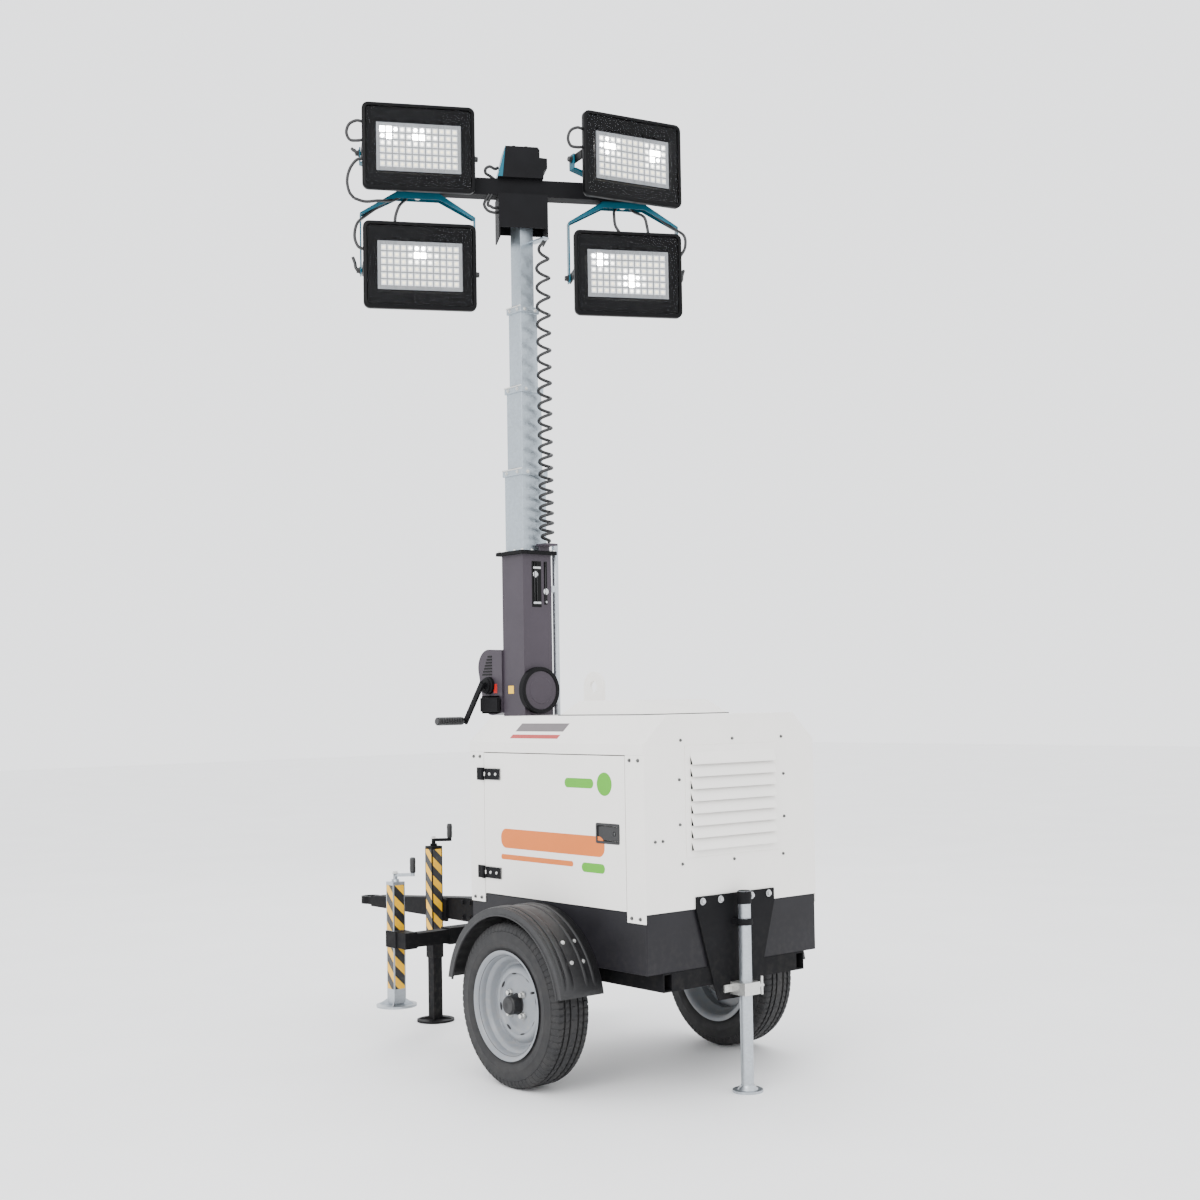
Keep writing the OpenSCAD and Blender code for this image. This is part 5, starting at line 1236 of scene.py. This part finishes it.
for side, sign in SIDES:
    low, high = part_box(f"latch_{side}")
    cx = (low.x + high.x) / 2
    cz = (low.z + high.z) / 2
    bm = bmesh.new()
    frame_ring(bm, (cx, sign * SKIN, cz), 0.0516, 0.0246, 0.0085, 0.0025, (1, 0, 0), (0, 0, 1), (0, sign, 0))
    sharpen(make(f"latch_bezel_{side}", bm, "plastic", f"door_{side}"))
    bm = bmesh.new()
    add_disc(bm, (high.x - 0.018, sign * (SKIN - 0.002), cz), (0, sign, 0),
             [(0.0088, 0), (0.0088, 0.0012), (0.0075, 0.002), (0.003, 0.002), (0.0028, 0.0008), (0, 0.0008)], 24)
    add_block(bm, (high.x - 0.0186, sign * (SKIN - 0.0005) - 0.0008, cz - 0.0045),
              (high.x - 0.0174, sign * (SKIN - 0.0005) + 0.0008, cz + 0.0045), 0.0002, 1)
    sharpen(make(f"latch_key_{side}", bm, "steel", f"latch_{side}"))

    bm = bmesh.new()
    for z in (door_low.z + 0.074, door_high.z - 0.074):
        for dx in (0.046, 0.082):
            add_disc(bm, (door_low.x + dx, sign * (SKIN + 0.0044), z), (0, sign, 0),
                     [(0.0062, 0), (0.0062, 0.001), (0.0048, 0.0032), (0.0020, 0.0040), (0, 0.0040)], 16)
    sharpen(make(f"hinge_screws_{side}", bm, "zinc", f"door_{side}"))
    bm = bmesh.new()
    for z in (door_low.z + 0.074, door_high.z - 0.074):
        y0, y1 = sorted((sign * (SKIN + 0.0002), sign * (SKIN + 0.0048)))
        add_block(bm, (STRAP_X0, y0, z - 0.0206), (STRAP_X0 + 0.0915, y1, z + 0.0206), 0.0012, 2)
        add_disc(bm, (STRAP_X0 - 0.0088, sign * 0.394, z - 0.0070), (0, 0, 1), [(0.0070, 0), (0.0070, 0.0140),
                                                                             (0, 0.0140)], 20)
    make(f"hinge_strap_{side}", bm, "black", f"door_{side}", smooth=False)

hood_low, hood_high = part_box("roof_hood")
bm = bmesh.new()
for y0, y1, x0_, x1_ in ((hood_low.y - 0.004, hood_low.y + 0.001, hood_low.x - 0.004, hood_high.x + 0.004),
                         (hood_high.y - 0.001, hood_high.y + 0.004, hood_low.x - 0.004, hood_high.x + 0.004),
                         (hood_low.y, hood_high.y, hood_low.x - 0.004, hood_low.x + 0.001),
                         (hood_low.y, hood_high.y, hood_high.x - 0.001, hood_high.x + 0.004)):
    add_block(bm, (x0_, y0, hood_low.z - 0.0002), (x1_, y1, hood_low.z + 0.003), 0.0006, 1)
make("hood_seal", bm, "plastic", "trailer", smooth=False)

bm = bmesh.new()
lift_low, lift_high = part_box("lifting_eye")
for dx in (-0.030, 0.018):
    for y in (-0.030, 0.030):
        add_hex_bolt(bm, ((lift_low.x + lift_high.x) / 2 + dx, y, roof_top + 0.006), (0, 0, 1), 0.0065, 0.005)
sharpen(make("lifting_bolts", bm, "zinc", "trailer"))


def mark(name, outline, sign, material, body):
    """A thin sticker on a door, from an outline in X and Z."""
    bm = bmesh.new()
    add_slab(bm, [bm.verts.new((x, sign * (SKIN + STICKER_LIFT), z)) for x, z in outline],
             [bm.verts.new((x, sign * (SKIN - STICKER_SINK), z)) for x, z in outline])
    make(name, bm, material, body, smooth=False)


def round_ended(x0, x1, z0, z1, r, steps=8):
    """Outline of a bar in X and Z with rounded corners."""
    points = []
    for cx, cz, first in ((x1 - r, z1 - r, 0), (x0 + r, z1 - r, 90), (x0 + r, z0 + r, 180), (x1 - r, z0 + r, 270)):
        for k in range(steps + 1):
            a = math.radians(first + 90 * k / steps)
            points.append((cx + r * math.cos(a), cz + r * math.sin(a)))
    return points


def disc_outline(x, z, r, steps=40):
    return [(x + r * math.cos(2 * math.pi * k / steps), z + r * math.sin(2 * math.pi * k / steps))
            for k in range(steps)]


mid = (door_low.x + door_high.x) / 2
for side, sign in SIDES:
    low_z = door_low.z
    for part, look, outline in (
            ("band", "orange", round_ended(mid - 0.285, mid + 0.285, low_z + 0.165, low_z + 0.232, 0.030)),
            ("line", "orange", round_ended(mid - 0.285, mid + 0.120, low_z + 0.125, low_z + 0.143, 0.008)),
            ("tag", "green", round_ended(mid + 0.165, mid + 0.285, low_z + 0.112, low_z + 0.143, 0.0155)),
            ("disc", "green", disc_outline(mid + 0.288, door_high.z - 0.092, 0.038)),
            ("bar", "green", round_ended(mid + 0.080, mid + 0.232, door_high.z - 0.108, door_high.z - 0.076,
                                         0.016))):
        mark(f"mark_{part}_{side}", outline, sign, look, f"door_{side}")

EAVE, RIDGE = Vector((0, SKIN, 1.139)), Vector((0, 0.289, 1.229))
ROOF_MARK_X = (0.385, 0.655)
for side, sign in SIDES:
    for part, look, low, high in (("bar", "grey", 0.42, 0.72), ("line", "red", 0.16, 0.30)):
        bm = bmesh.new()
        corners = [(x, EAVE.lerp(RIDGE, t)) for x, t in ((ROOF_MARK_X[0], low), (ROOF_MARK_X[1], low),
                                                        (ROOF_MARK_X[1], high), (ROOF_MARK_X[0], high))]
        outer, inner = ([bm.verts.new((x, sign * (p.y + d), p.z + d)) for x, p in corners]
                        for d in (STICKER_SINK, -STICKER_SINK))
        add_slab(bm, outer, inner)
        make(f"roof_{part}_{side}", bm, look, "trailer", smooth=False)

# ---- chassis fasteners ----

bm = bmesh.new()
for s in (-1, 1):
    for x in (-0.105, -0.055):
        for z in (0.425, 0.485):
            add_hex_bolt(bm, (x - 0.300, s * 0.035, z), (0, s, 0), 0.009, 0.007)
sharpen(make("drawbar_bolts", bm, "black", "trailer"))
bm = bmesh.new()
for y in (-0.1505, -0.0708, 0.0708, 0.1505):
    add_hex_bolt(bm, (1.1230, y, 0.6260), (1, 0, 0), 0.0082, 0.0068)
sharpen(make("rear_bracket_bolts", bm, "steel", "trailer"))

# ---- floor ----

bm = bmesh.new()
bmesh.ops.create_grid(bm, x_segments=1, y_segments=1, size=30)
floor = bpy.data.objects.new("floor", bpy.data.meshes.new("floor"))
bm.to_mesh(floor.data)
bm.free()
scene.collection.objects.link(floor)
floor_shader = Shader("floor_pale", rough=0.65)
floor_shader.set("Base Color", floor_shader.ramp(floor_shader.noise(1.5, 3), (0.3, (0.90, 0.90, 0.90)),
                                                 (0.7, (0.93, 0.93, 0.93))))
floor.data.materials.append(floor_shader.mat)
